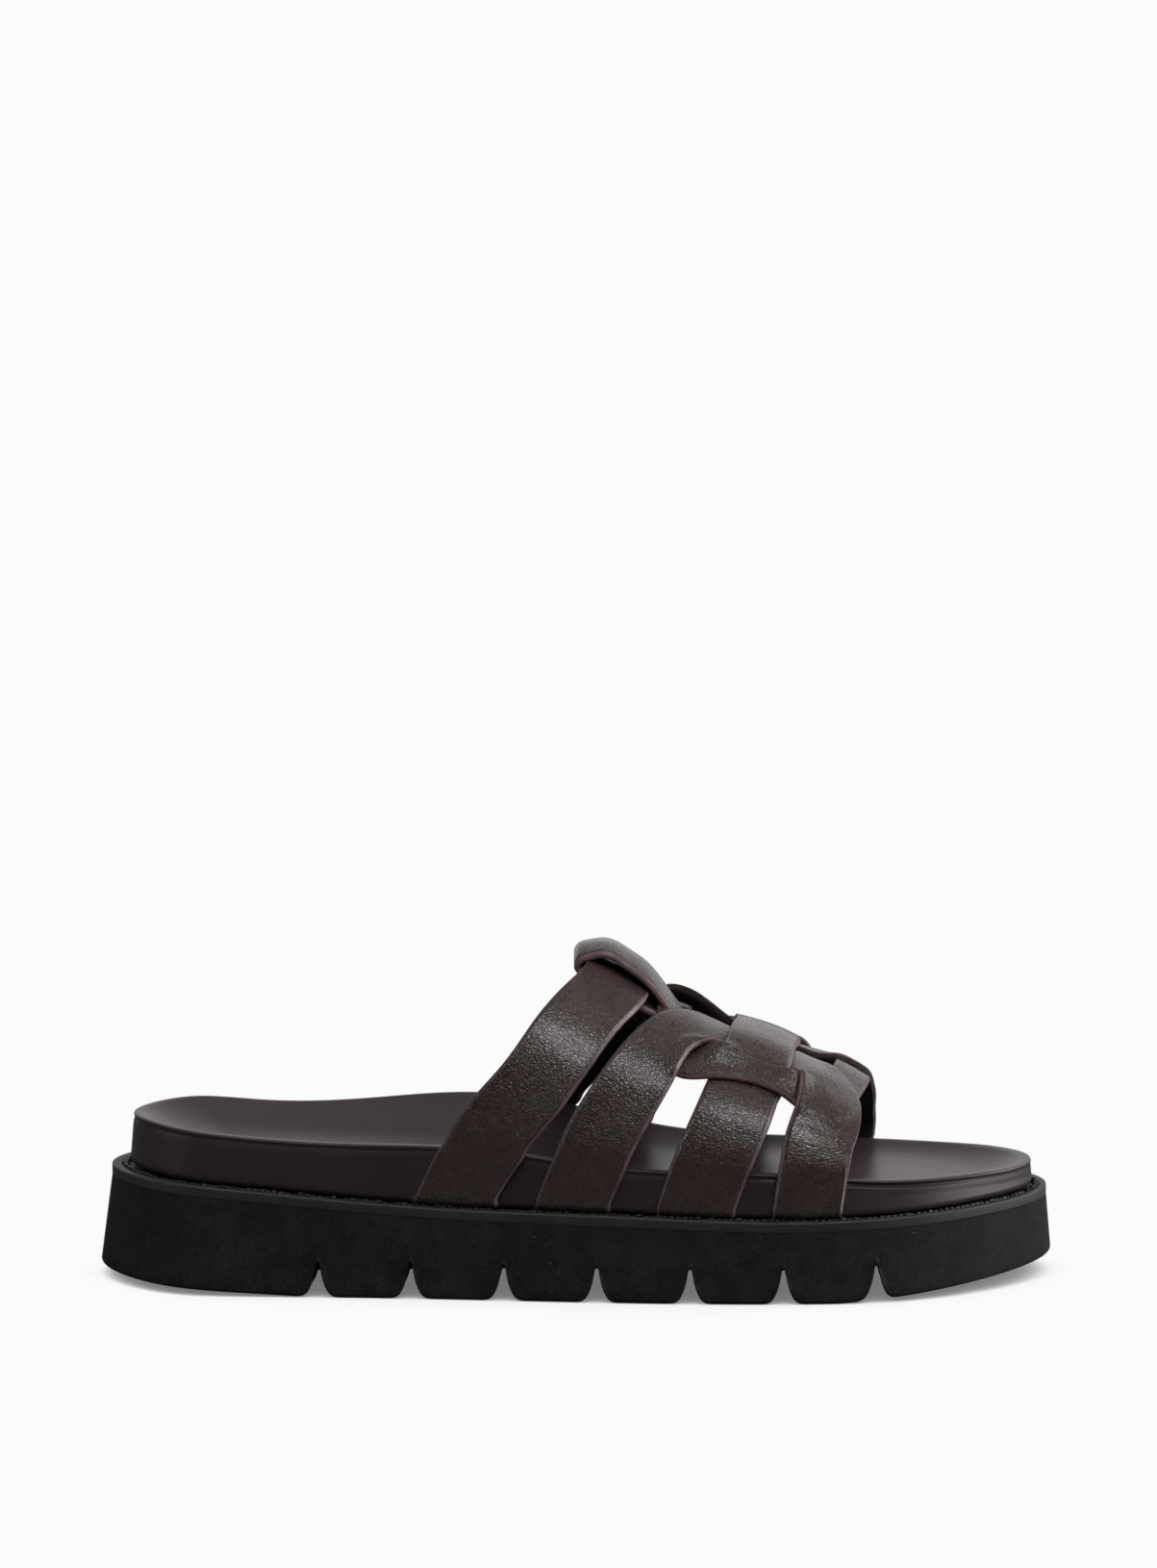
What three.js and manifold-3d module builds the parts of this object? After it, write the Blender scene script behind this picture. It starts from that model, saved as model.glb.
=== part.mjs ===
// Footbed sandal for the right foot: a slide with a woven strap upper on a lugged sole.
//
// Millimetres, +Z up. X runs from the heel to the toe, and +Y is the inner side of the foot.
// While it is modelled, x = 0 is the back of the heel, and y = 0 is the heel's centre line.
// The finished group is moved so that its origin lies on the floor under the middle of its box.

import * as THREE from 'three';
import { mergeVertices } from 'three/addons/utils/BufferGeometryUtils.js';
import Module from 'manifold-3d';

const wasm = await Module();
wasm.setup();

// ---------------------------------------------------------------- driving sizes

const FOOTBED_LENGTH = 266; // heel to toe, over the footbed's wall
const BALL_WIDTH = 90; // footbed, at the ball of the foot
const HEEL_HEIGHT = 33; // floor to the top of the welt, at the heel
const INSTEP_HEIGHT = 85.5; // floor to the last's crest, under the middle of the rear strap
const CREST_INNER = 4; // the last's crest lies this far to the inner side
const STRAP_THICKNESS = 2.1;
const WELT_THICKNESS = 3;
const PIECE_GAP = 0.3; // air between neighbouring pieces
const FOOTBED_BACK = 9; // footbed's heel, ahead of the sole's heel

// ---------------------------------------------------------------- tables of the last
// along: percent of the footbed's length, from its heel. It runs past 0 and 100 on the sole.

// Footbed outline. outer, inner: percent of the ball width, from the centre line.
const PLAN = [
  { along: 4.9, outer: 27.8, inner: 27.8 },
  { along: 13.5, outer: 34.7, inner: 34.4 },
  { along: 28.6, outer: 38, inner: 34.4 },
  { along: 43.6, outer: 42.9, inner: 36.7 },
  { along: 56.8, outer: 47, inner: 44.4 },
  { along: 69.9, outer: 48.9, inner: 51.1 },
  { along: 83.1, outer: 45.6, inner: 50 },
  { along: 92.9, outer: 30, inner: 38.9 },
  { along: 98.3, outer: 12.5, inner: 21.5 },
];
const TOE_TIP_INNER = 4.4; // the toe's tip, towards the big toe, percent of the ball width

// Sole. top: height of the welt's top, percent of the heel height.
// shelf: how far the welt stands out from the footbed, flare: the sole's foot beyond the welt.
const SOLE = [
  { along: -3.4, top: 100, shelf: 5.5, flare: 3.4 },
  { along: 7.9, top: 95.5, shelf: 5.4, flare: 3.2 },
  { along: 21.1, top: 86.4, shelf: 5.2, flare: 2.9 },
  { along: 36.1, top: 78.5, shelf: 5, flare: 2.6 },
  { along: 53, top: 75.2, shelf: 5, flare: 2.4 },
  { along: 73.7, top: 71.2, shelf: 4.8, flare: 2.1 },
  { along: 86.8, top: 74.5, shelf: 4.4, flare: 1.7 },
  { along: 101.9, top: 78.8, shelf: 4.1, flare: 1.4 },
];

// Footbed surface. outer, inner: the rim, middle: the bed, in percent of the heel height.
// band: how far in from the rim the bed has become flat, in millimetres.
const BED = [
  { along: 0, outer: 145.5, inner: 145.5, middle: 124, band: 30 },
  { along: 6, outer: 142, inner: 145, middle: 121, band: 30 },
  { along: 15.4, outer: 135.5, inner: 139.4, middle: 116, band: 29 },
  { along: 26.7, outer: 132, inner: 142, middle: 114, band: 28 },
  { along: 36.1, outer: 131, inner: 146.7, middle: 112, band: 28 },
  { along: 45.5, outer: 123.6, inner: 139.4, middle: 107, band: 26 },
  { along: 55.6, outer: 114.5, inner: 117.5, middle: 97, band: 22 },
  { along: 63.5, outer: 112.7, inner: 104.7, middle: 92.7, band: 18 },
  { along: 71.8, outer: 110.6, inner: 99.3, middle: 90, band: 16 },
  { along: 83.1, outer: 104, inner: 96.7, middle: 88, band: 15 },
  { along: 92.5, outer: 102, inner: 96.4, middle: 88, band: 15 },
  { along: 100, outer: 98.8, inner: 98.8, middle: 90, band: 15 },
];

// Crest of the last, over the instep and toes. height: percent of the instep height.
const CREST = [
  { along: 34.2, height: 126 },
  { along: 39.8, height: 120.5 },
  { along: 45.5, height: 113.4 },
  { along: 53.8, height: 100 },
  { along: 57.9, height: 93 },
  { along: 62.4, height: 87.8 },
  { along: 67.3, height: 82.4 },
  { along: 71.1, height: 78.3 },
  { along: 74.4, height: 73.3 },
  { along: 78.2, height: 66.6 },
  { along: 82.3, height: 59.8 },
  { along: 86.8, height: 55.2 },
];

// ---------------------------------------------------------------- tables of the straps
// reach: percent of the way from the crest down to the welt, minus on the outer side.
// lift: layers of leather below the strap. lead: how far the inner side stands ahead.

const REAR_STRAP = [
  { along: 36.4, reach: -100, width: 21.5, lift: 0, lead: 10 },
  { along: 39.8, reach: -83, width: 22, lift: 0, lead: 11 },
  { along: 44.4, reach: -69, width: 21.5, lift: 0, lead: 12 },
  { along: 48.6, reach: -53, width: 21.5, lift: 0, lead: 11 },
  { along: 50.9, reach: -35, width: 21.5, lift: 0.3, lead: 8 },
  { along: 53.1, reach: -15, width: 21.5, lift: 1.1, lead: 2.5 },
  { along: 53.7, reach: 0, width: 21.5, lift: 1.4, lead: 0 },
];

const MIDDLE_STRAP = [
  { along: 62.4, reach: -100, width: 22, lift: 0, lead: 8 },
  { along: 64.1, reach: -84, width: 22, lift: 0, lead: 8 },
  { along: 65.9, reach: -68, width: 22, lift: 0, lead: 8 },
  { along: 67.3, reach: -53, width: 22, lift: 0, lead: 7 },
  { along: 68.5, reach: -40, width: 21.6, lift: 0.2, lead: 5 },
  { along: 69.4, reach: -29, width: 20.8, lift: 1.9, lead: 3 },
  { along: 69.7, reach: -12, width: 19.6, lift: 2.1, lead: 1 },
  { along: 69.8, reach: 0, width: 19, lift: 2.1, lead: 0 },
];

const LOOP_STRAP = [
  { along: 49.1, reach: -100, width: 20.5, lift: 0, lead: 8 },
  { along: 51.9, reach: -81, width: 20.5, lift: 0, lead: 8 },
  { along: 54.7, reach: -66, width: 20.5, lift: 0.2, lead: 7 },
  { along: 57.6, reach: -49, width: 20.5, lift: 0.9, lead: 6 },
  { along: 60.1, reach: -33, width: 20, lift: 1.3, lead: 2 },
  { along: 63.4, reach: -25, width: 15.5, lift: 1.1, lead: -1 },
  { along: 65.8, reach: -24, width: 14.6, lift: 0.6, lead: -1 },
  { along: 69.4, reach: -22.5, width: 14.5, lift: 0.5, lead: 0 },
  { along: 72.4, reach: -21.8, width: 15.4, lift: 0.7, lead: 2 },
  { along: 74.8, reach: -25.5, width: 18, lift: 1.2, lead: 4 },
  { along: 76.4, reach: -41, width: 19.5, lift: 1.1, lead: 6 },
  { along: 76.2, reach: -57, width: 20, lift: 0.5, lead: 8.5 },
  { along: 75.5, reach: -70, width: 20, lift: 0.1, lead: 10.5 },
  { along: 75, reach: -85, width: 20, lift: 0, lead: 12 },
  { along: 74.4, reach: -100, width: 20, lift: 0, lead: 12 },
];

const RING_STRAP = [
  { along: 60, reach: -7, width: 11, lift: 0.15, lead: 0 },
  { along: 60.4, reach: -20, width: 11, lift: 0, lead: 1 },
  { along: 61.6, reach: -38, width: 11.3, lift: 0.1, lead: 2 },
  { along: 64.6, reach: -43.5, width: 11.5, lift: 0.6, lead: 2 },
  { along: 68, reach: -42.5, width: 11.5, lift: 1, lead: 2 },
  { along: 71.2, reach: -42, width: 11.5, lift: 0.8, lead: 3 },
  { along: 73.8, reach: -43.5, width: 11.5, lift: 0, lead: 4 },
  { along: 76.3, reach: -42, width: 11.5, lift: 0, lead: 4.5 },
  { along: 78.2, reach: -30, width: 11.5, lift: 0, lead: 4 },
  { along: 78.8, reach: -14, width: 11.5, lift: 0, lead: 2 },
  { along: 79, reach: 0, width: 11.5, lift: 0, lead: 0 },
];

// Centre loop, seen from the side: it runs back over the rear strap, rolls round its rear
// edge and returns below it. above: height of its mid thickness over the crest, in millimetres.
const CENTRE_LOOP = [
  { along: 60.7, above: 1.2 },
  { along: 59.7, above: 3.9 },
  { along: 58.4, above: 7.4 },
  { along: 56.8, above: 10.2 },
  { along: 54.9, above: 10.9 },
  { along: 53.2, above: 10.8 },
  { along: 51.9, above: 9.2 },
  { along: 50.8, above: 7.1 },
  { along: 49.8, above: 4.8 },
  { along: 49.5, above: 2.9 },
  { along: 50.2, above: 1.4 },
  { along: 51.6, above: 1.05 },
  { along: 55, above: 1.05 },
  { along: 60, above: 1.05 },
];
const CENTRE_LOOP_WIDTH = 22;
const CENTRE_LOOP_CROWN = 16; // radius of its crown, from side to side

// ---------------------------------------------------------------- remaining sizes

const HEEL_ROCKER = { from: 50, rise: 2.7, power: 2 };
const TOE_SPRING = { from: 215, length: 65, rise: 6, power: 1.2 };
const GROOVE_COUNT = 7;
const GROOVE_FIRST = 65.5;
const GROOVE_PITCH = 26.9;
const GROOVE_LENGTH = 160; // across the sole and past both its sides
// One side of a groove. half: half its width, up: height over the sole's underside.
const GROOVE = [
  { half: 5.9, up: -2 },
  { half: 5.9, up: 0 },
  { half: 4.3, up: 0.3 },
  { half: 3.1, up: 1.2 },
  { half: 2.2, up: 2.8 },
  { half: 1.4, up: 5 },
  { half: 0.85, up: 7.3 },
  { half: 0.6, up: 9.2 },
  { half: 0.25, up: 9.9 },
];
const SOLE_EDGE = 1.2; // radius of the sole's lower edge
const WALL_LEAN = 1; // the footbed's wall leans in by this much
const RIM_RADIUS = 2.3;
const RIM_TURN = { from: -12, to: 20 }; // where the rim goes over from the outer to the inner side
const HALF_ROUND = 0.3; // part of a radius still to go, half way round a quarter turn
const STRAP_GAP = 0.45; // strap to footbed wall
const FUSE = 0.3; // crossing straps sink into each other by this much
const FOOT_RADIUS = 0.8; // inside radius, where a strap turns in under the footbed
const TUCK = 10; // length of strap that lies under the footbed
const LEVEL_CUT = { from: 0.55, to: 0.8 }; // reach over which a strap's cut turns level with the welt
const TYPICAL_GIRTH = 90; // crest to welt, for measuring along a strap
const WALL_HANDLE = 0.62; // fullness of the last's side, as a Bezier handle
const CREST_HANDLE = 0.52; // fullness of the last's top

const OUTLINE_STEPS = 96;
const OUTER = -1;
const INNER = 1;

// ---------------------------------------------------------------- small tools

const clamp = (value, low, high) => Math.min(high, Math.max(low, value));
const xOf = (along) => FOOTBED_BACK + (along / 100) * FOOTBED_LENGTH;

function smoothStep(from, to, value) {
  const t = clamp((value - from) / (to - from), 0, 1);
  return t * t * (3 - 2 * t);
}

// Natural cubic spline through values at increasing positions.
function spline(positions, values) {
  const last = positions.length - 1;
  const bend = new Array(last + 1).fill(0);
  for (let sweep = 0; sweep < 60; sweep += 1) {
    for (let i = 1; i < last; i += 1) {
      const before = positions[i] - positions[i - 1];
      const after = positions[i + 1] - positions[i];
      const turn = (values[i + 1] - values[i]) / after - (values[i] - values[i - 1]) / before;
      bend[i] = (6 * turn - before * bend[i - 1] - after * bend[i + 1]) / (2 * (before + after));
    }
  }
  return (position) => {
    let i = 0;
    while (i < last - 1 && position > positions[i + 1]) i += 1;
    const step = positions[i + 1] - positions[i];
    const a = (positions[i + 1] - position) / step;
    const b = 1 - a;
    const curve = ((a ** 3 - a) * bend[i] + (b ** 3 - b) * bend[i + 1]) * ((step * step) / 6);
    return a * values[i] + b * values[i + 1] + curve;
  };
}

// A column of a table as a smooth function of x.
function column(rows, name, scale) {
  const curve = spline(rows.map((row) => xOf(row.along)), rows.map((row) => row[name] * scale));
  const low = xOf(rows[0].along);
  const high = xOf(rows[rows.length - 1].along);
  return (x) => curve(clamp(x, low, high));
}

// Closed cubic B-spline that passes through the given points.
function smoothLoop(points, steps) {
  const count = points.length;
  const at = (list, i) => list[(i + count) % count];
  const controls = points.map((point) => point.clone());
  for (let sweep = 0; sweep < 40; sweep += 1) {
    for (let i = 0; i < count; i += 1) {
      const neighbours = at(controls, i - 1).clone().add(at(controls, i + 1));
      controls[i].copy(points[i]).multiplyScalar(6).sub(neighbours).divideScalar(4);
    }
  }
  return Array.from({ length: steps }, (_, k) => {
    const t = (k / steps) * count;
    const i = Math.floor(t);
    const u = t - i;
    return new THREE.Vector2()
      .addScaledVector(at(controls, i - 1), (1 - u) ** 3 / 6)
      .addScaledVector(at(controls, i), (3 * u ** 3 - 6 * u ** 2 + 4) / 6)
      .addScaledVector(at(controls, i + 1), (-3 * u ** 3 + 3 * u ** 2 + 3 * u + 1) / 6)
      .addScaledVector(at(controls, i + 2), u ** 3 / 6);
  });
}

// A closed outline moved outwards by a distance that may change with x.
function offsetLoop(loop, distance) {
  const count = loop.length;
  return loop.map((point, i) => {
    const tangent = loop[(i + 1) % count].clone().sub(loop[(i + count - 1) % count]).normalize();
    const outwards = new THREE.Vector2(tangent.y, -tangent.x);
    return point.clone().addScaledVector(outwards, distance(point.x));
  });
}

function distanceToLoop(loop, x, y) {
  let best = Infinity;
  for (let i = 0; i < loop.length; i += 1) {
    const a = loop[i];
    const b = loop[(i + 1) % loop.length];
    const abx = b.x - a.x;
    const aby = b.y - a.y;
    const t = clamp(((x - a.x) * abx + (y - a.y) * aby) / (abx * abx + aby * aby), 0, 1);
    best = Math.min(best, Math.hypot(a.x + t * abx - x, a.y + t * aby - y));
  }
  return best;
}

// ---------------------------------------------------------------- solids

function solidFrom(geometry) {
  const bare = geometry.clone();
  bare.deleteAttribute('normal');
  bare.deleteAttribute('uv');
  const merged = mergeVertices(bare, 1e-4);
  return new wasm.Manifold(new wasm.Mesh({
    numProp: 3,
    vertProperties: new Float32Array(merged.attributes.position.array),
    triVerts: new Uint32Array(merged.index.array),
  }));
}

function geometryFrom(solid) {
  const mesh = solid.getMesh();
  const geometry = new THREE.BufferGeometry();
  geometry.setAttribute('position', new THREE.BufferAttribute(mesh.vertProperties, 3));
  geometry.setIndex(new THREE.BufferAttribute(mesh.triVerts, 1));
  geometry.computeVertexNormals();
  return geometry;
}

function geometryOf(points, triangles) {
  const geometry = new THREE.BufferGeometry().setFromPoints(points);
  geometry.setIndex(triangles);
  return geometry;
}

// A plate whose side runs through the given rings, from the lowest to the highest. Each ring
// starts at the heel's back and reaches the toe's tip half way round. A cap is a grid of rows
// from the ring's outer side to its inner side, with its height given by a function.
function plate(rings, bottom, top) {
  const count = rings[0].length;
  const half = count / 2;
  const points = rings.flat();
  const triangles = [];
  for (let r = 0; r < rings.length - 1; r += 1) {
    for (let i = 0; i < count; i += 1) {
      const a = r * count + i;
      const b = r * count + ((i + 1) % count);
      triangles.push(a, b, b + count, a, b + count, a + count);
    }
  }
  const addCap = (base, cap, facesUp) => {
    const face = (a, b, c) => triangles.push(...(facesUp ? [a, b, c] : [a, c, b]));
    const row = (i) => {
      if (i === 0 || i === half) return [base + i];
      const from = points[base + i];
      const to = points[base + count - i];
      const inside = cap.columns.map((t) => {
        const point = from.clone().lerp(to, t);
        point.z = cap.height(point.x, point.y);
        return points.push(point) - 1;
      });
      return [base + i, ...inside, base + count - i];
    };
    let near = row(0);
    for (let i = 1; i <= half; i += 1) {
      const far = row(i);
      const cells = Math.max(near.length, far.length) - 1;
      for (let j = 0; j < cells; j += 1) {
        if (far.length > 1) face(near[Math.min(j, near.length - 1)], far[j], far[j + 1]);
        if (near.length > 1) face(near[j], far[Math.min(j + 1, far.length - 1)], near[j + 1]);
      }
      near = far;
    }
  };
  addCap(0, bottom, false);
  addCap((rings.length - 1) * count, top, true);
  return solidFrom(geometryOf(points, triangles));
}

// A sheet of leather between two grids of points, its inner and its outer face.
function sheet(inner, outer) {
  const rows = inner.length;
  const width = inner[0].length;
  const points = [...inner.flat(), ...outer.flat()];
  const shift = rows * width;
  const triangles = [];
  const quad = (a, b, c, d) => triangles.push(a, b, c, a, c, d);
  for (let i = 0; i < rows - 1; i += 1) {
    for (let j = 0; j < width - 1; j += 1) {
      const a = i * width + j;
      quad(a + shift, a + width + shift, a + width + 1 + shift, a + 1 + shift);
      quad(a, a + 1, a + width + 1, a + width);
    }
    const left = i * width;
    const right = left + width - 1;
    quad(left, left + width, left + width + shift, left + shift);
    quad(right + shift, right + width + shift, right + width, right);
  }
  for (let j = 0; j < width - 1; j += 1) {
    const end = (rows - 1) * width + j;
    quad(j, j + shift, j + 1 + shift, j + 1);
    quad(end + 1, end + 1 + shift, end + shift, end);
  }
  const solid = solidFrom(geometryOf(points, triangles));
  return solid.volume() < 0 ? solidFrom(geometryOf(points, triangles.reverse())) : solid;
}

// ---------------------------------------------------------------- the last

const weltTop = column(SOLE, 'top', HEEL_HEIGHT / 100);
const shelf = column(SOLE, 'shelf', 1);
const flare = column(SOLE, 'flare', 1);
const rimOuter = column(BED, 'outer', HEEL_HEIGHT / 100);
const rimInner = column(BED, 'inner', HEEL_HEIGHT / 100);
const bedMiddle = column(BED, 'middle', HEEL_HEIGHT / 100);
const bedBand = column(BED, 'band', 1);
const crest = column(CREST, 'height', INSTEP_HEIGHT / 100);

const footbedOutline = (() => {
  const width = BALL_WIDTH / 100;
  const outer = PLAN.map((row) => new THREE.Vector2(xOf(row.along), -row.outer * width));
  const inner = PLAN.map((row) => new THREE.Vector2(xOf(row.along), row.inner * width));
  const heel = new THREE.Vector2(xOf(0), 0);
  const toe = new THREE.Vector2(xOf(100), TOE_TIP_INNER * width);
  const corners = [heel, ...outer, toe, ...inner.reverse()];
  return (steps) => smoothLoop(corners, steps);
})();

// Half width of the footbed at x, from the centre line to one side.
const halfWidth = (() => {
  const fine = footbedOutline(800);
  const half = fine.length / 2;
  const sides = { [OUTER]: fine.slice(0, half), [INNER]: fine.slice(half).reverse() };
  return (x, side) => {
    const line = sides[side];
    const i = line.findIndex((point, k) => k > 0 && point.x >= x && line[k - 1].x < x);
    const t = (x - line[i - 1].x) / (line[i].x - line[i - 1].x);
    return Math.abs(line[i - 1].y + t * (line[i].y - line[i - 1].y));
  };
})();

// The last's section at x on one side: down from the crest by a Bezier curve to the footbed's
// rim, straight down its wall, and round and in below it. reach 1 is where the turn starts.
function lastPoint(x, reach) {
  const side = reach < 0 ? OUTER : INNER;
  const wallY = side * (halfWidth(x, side) + STRAP_GAP);
  const rim = side === OUTER ? rimOuter(x) : rimInner(x);
  const foot = weltTop(x) + PIECE_GAP + STRAP_THICKNESS + FOOT_RADIUS;
  const rise = crest(x) - rim;
  const span = wallY - CREST_INNER;
  const arch = 0.5 * (Math.abs(span) + rise + Math.hypot(span, rise));
  const way = Math.min(1, Math.abs(reach)) * (arch + rim - foot);
  const tail = Math.max(0, Math.abs(reach) - 1) * 100;
  if (tail > 0) {
    const turn = Math.min(tail / FOOT_RADIUS, Math.PI / 2);
    const flat = Math.max(0, tail - FOOT_RADIUS * (Math.PI / 2));
    const inwards = FOOT_RADIUS * (1 - Math.cos(turn)) + flat;
    return new THREE.Vector3(x, wallY - side * inwards, foot - FOOT_RADIUS * Math.sin(turn));
  }
  if (way > arch) return new THREE.Vector3(x, wallY, rim - (way - arch));
  const t = way / arch;
  const y = CREST_INNER + span * (3 * t * (1 - t) ** 2 * CREST_HANDLE + 3 * t * t * (1 - t) + t ** 3);
  const drop = 3 * t * t * (1 - t) * (1 - WALL_HANDLE) + t ** 3;
  return new THREE.Vector3(x, y, crest(x) - rise * drop);
}

// Place, slopes and outward normal of the last at one point.
function lastFrame(x, reach) {
  const step = 0.002;
  const alongX = lastPoint(x + 0.5, reach).sub(lastPoint(x - 0.5, reach));
  const alongReach = lastPoint(x, reach + step).sub(lastPoint(x, reach - step));
  alongReach.divideScalar(2 * step);
  const normal = alongX.clone().cross(alongReach).normalize();
  return { point: lastPoint(x, reach), alongX, alongReach, normal };
}

// ---------------------------------------------------------------- straps

// Rows for the whole strap: the outer side as given, then the inner side mirrored.
function bothSides(rows) {
  const mirrored = rows.slice(0, -1).reverse().map((row) => ({ ...row, reach: -row.reach, inner: true }));
  return [...rows, ...mirrored];
}

const oneSide = (rows, inner) => rows.map((row) => ({ ...row, reach: inner ? -row.reach : row.reach, inner }));

// Smooth path through a strap's rows, as functions of the distance along it.
function strapPath(rows) {
  const xs = rows.map((row) => xOf(row.along) + (row.inner ? row.lead : 0));
  const reaches = rows.map((row) => row.reach / 100);
  const distances = [0];
  for (let i = 1; i < rows.length; i += 1) {
    const step = Math.hypot(xs[i] - xs[i - 1], (reaches[i] - reaches[i - 1]) * TYPICAL_GIRTH);
    distances.push(distances[i - 1] + step);
  }
  return {
    length: distances[distances.length - 1],
    x: spline(distances, xs),
    reach: spline(distances, reaches),
    width: spline(distances, rows.map((row) => row.width)),
    lift: spline(distances, rows.map((row) => row.lift)),
  };
}

// Stations along a strap. Its ends at the welt go on round the turn and in below the footbed.
function strapStations(path, steps, grow) {
  const at = (distance) => ({
    x: path.x(distance),
    reach: path.reach(distance),
    width: path.width(distance),
    lift: Math.max(0, path.lift(distance)),
    slopeX: path.x(distance + 0.1) - path.x(distance - 0.1),
    slopeReach: path.reach(distance + 0.1) - path.reach(distance - 0.1),
  });
  const stations = Array.from({ length: steps + 1 }, (_, i) => at((path.length * i) / steps));
  const tails = (end, heading) => {
    const turned = (FOOT_RADIUS * Math.PI) / 200;
    return [turned / 2, turned, (TUCK + grow) / 100].map((past) => ({
      ...end,
      x: end.x + ((heading * end.slopeX) / Math.abs(end.slopeReach)) * past,
      reach: end.reach + Math.sign(end.reach) * past,
    }));
  };
  const first = stations[0];
  const final = stations[steps];
  const atFoot = (station) => Math.abs(station.reach) > 0.99;
  const before = atFoot(first) ? tails(first, -1).reverse() : [];
  const after = atFoot(final) ? tails(final, 1) : [];
  return [...before, ...stations, ...after];
}

// A strap as a solid. grow makes it larger all round, for cutting its seat in the footbed.
function strapSolid(rows, steps, cells, grow = 0) {
  const stations = strapStations(strapPath(rows), steps, grow);
  const inner = [];
  const outer = [];
  for (const station of stations) {
    const frame = lastFrame(station.x, station.reach);
    const run = frame.alongX.clone().multiplyScalar(station.slopeX);
    run.addScaledVector(frame.alongReach, station.slopeReach).normalize();
    const across = frame.normal.clone().cross(run).normalize();
    const half = station.width / 2 + grow;
    // Square to the strap, as a step in x and reach.
    const xx = frame.alongX.dot(frame.alongX);
    const xr = frame.alongX.dot(frame.alongReach);
    const rr = frame.alongReach.dot(frame.alongReach);
    const bx = frame.alongX.dot(across);
    const br = frame.alongReach.dot(across);
    const det = xx * rr - xr * xr;
    const square = { x: (rr * bx - xr * br) / det, reach: (xx * br - xr * bx) / det };
    // Level with the welt, as a step in x alone. Feet are cut this way.
    const level = { x: 1 / bx, reach: 0 };
    const mix = smoothStep(LEVEL_CUT.from, LEVEL_CUT.to, Math.abs(station.reach));
    const stepX = THREE.MathUtils.lerp(square.x, level.x, mix) * half;
    const stepReach = THREE.MathUtils.lerp(square.reach, level.reach, mix) * half;
    const low = station.lift * (STRAP_THICKNESS - FUSE) - grow;
    const high = low + STRAP_THICKNESS + 2 * grow;
    const innerRow = [];
    const outerRow = [];
    for (let j = 0; j <= cells; j += 1) {
      const v = (2 * j) / cells - 1;
      const place = lastFrame(station.x + v * stepX, station.reach + v * stepReach);
      innerRow.push(place.point.clone().addScaledVector(place.normal, low));
      outerRow.push(place.point.clone().addScaledVector(place.normal, high));
    }
    inner.push(innerRow);
    outer.push(outerRow);
  }
  return sheet(inner, outer);
}

// The centre loop: its side profile carried across the crest, with a crown.
function centreLoop(steps, cells) {
  const line = CENTRE_LOOP.map((row) => {
    const x = xOf(row.along);
    return new THREE.Vector3(x, CREST_INNER, crest(x) + row.above);
  });
  const curve = new THREE.CatmullRomCurve3(line, false, 'centripetal');
  const inner = [];
  const outer = [];
  for (let i = 0; i <= steps; i += 1) {
    const point = curve.getPointAt(i / steps);
    const tangent = curve.getTangentAt(i / steps);
    const normal = new THREE.Vector3(tangent.z, 0, -tangent.x);
    const innerRow = [];
    const outerRow = [];
    for (let j = 0; j <= cells; j += 1) {
      const y = CENTRE_LOOP_WIDTH * (j / cells - 0.5);
      const place = point.clone().add(new THREE.Vector3(0, y, -(y * y) / (2 * CENTRE_LOOP_CROWN)));
      innerRow.push(place.clone().addScaledVector(normal, STRAP_THICKNESS / 2));
      outerRow.push(place.clone().addScaledVector(normal, -STRAP_THICKNESS / 2));
    }
    inner.push(innerRow);
    outer.push(outerRow);
  }
  return sheet(inner, outer);
}

// seated: the strap goes down round the footbed and in below it.
const STRAPS = [
  { rows: bothSides(REAR_STRAP), steps: 26, cells: 3, seated: true },
  { rows: bothSides(MIDDLE_STRAP), steps: 28, cells: 3, seated: true },
  { rows: oneSide(LOOP_STRAP, false), steps: 26, cells: 3, seated: true },
  { rows: oneSide(LOOP_STRAP, true), steps: 26, cells: 3, seated: true },
  { rows: bothSides(RING_STRAP), steps: 36, cells: 2, seated: false },
];

function upper() {
  return STRAPS.map(({ rows, steps, cells }) => strapSolid(rows, steps, cells))
    .reduce((whole, strap) => whole.add(strap), centreLoop(34, 4));
}

// ---------------------------------------------------------------- sole pieces

const ringAt = (loop, height) => loop.map((p) => new THREE.Vector3(p.x, p.y, height(p.x, p.y)));

function underside(x) {
  const heel = clamp((HEEL_ROCKER.from - x) / HEEL_ROCKER.from, 0, 1);
  const toe = clamp((x - TOE_SPRING.from) / TOE_SPRING.length, 0, 1);
  return HEEL_ROCKER.rise * heel ** HEEL_ROCKER.power + TOE_SPRING.rise * toe ** TOE_SPRING.power;
}

// One groove across the sole: a slit that opens and rounds out into the underside.
function groove(x) {
  const right = GROOVE.map((row) => new THREE.Vector2(row.half, row.up));
  const left = GROOVE.map((row) => new THREE.Vector2(-row.half, row.up)).reverse();
  const mouth = new THREE.Shape([...right, ...left]);
  const geometry = new THREE.ExtrudeGeometry(mouth, { depth: GROOVE_LENGTH, bevelEnabled: false });
  geometry.rotateX(Math.PI / 2);
  geometry.translate(x, GROOVE_LENGTH / 2, underside(x));
  return solidFrom(geometry);
}

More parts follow.
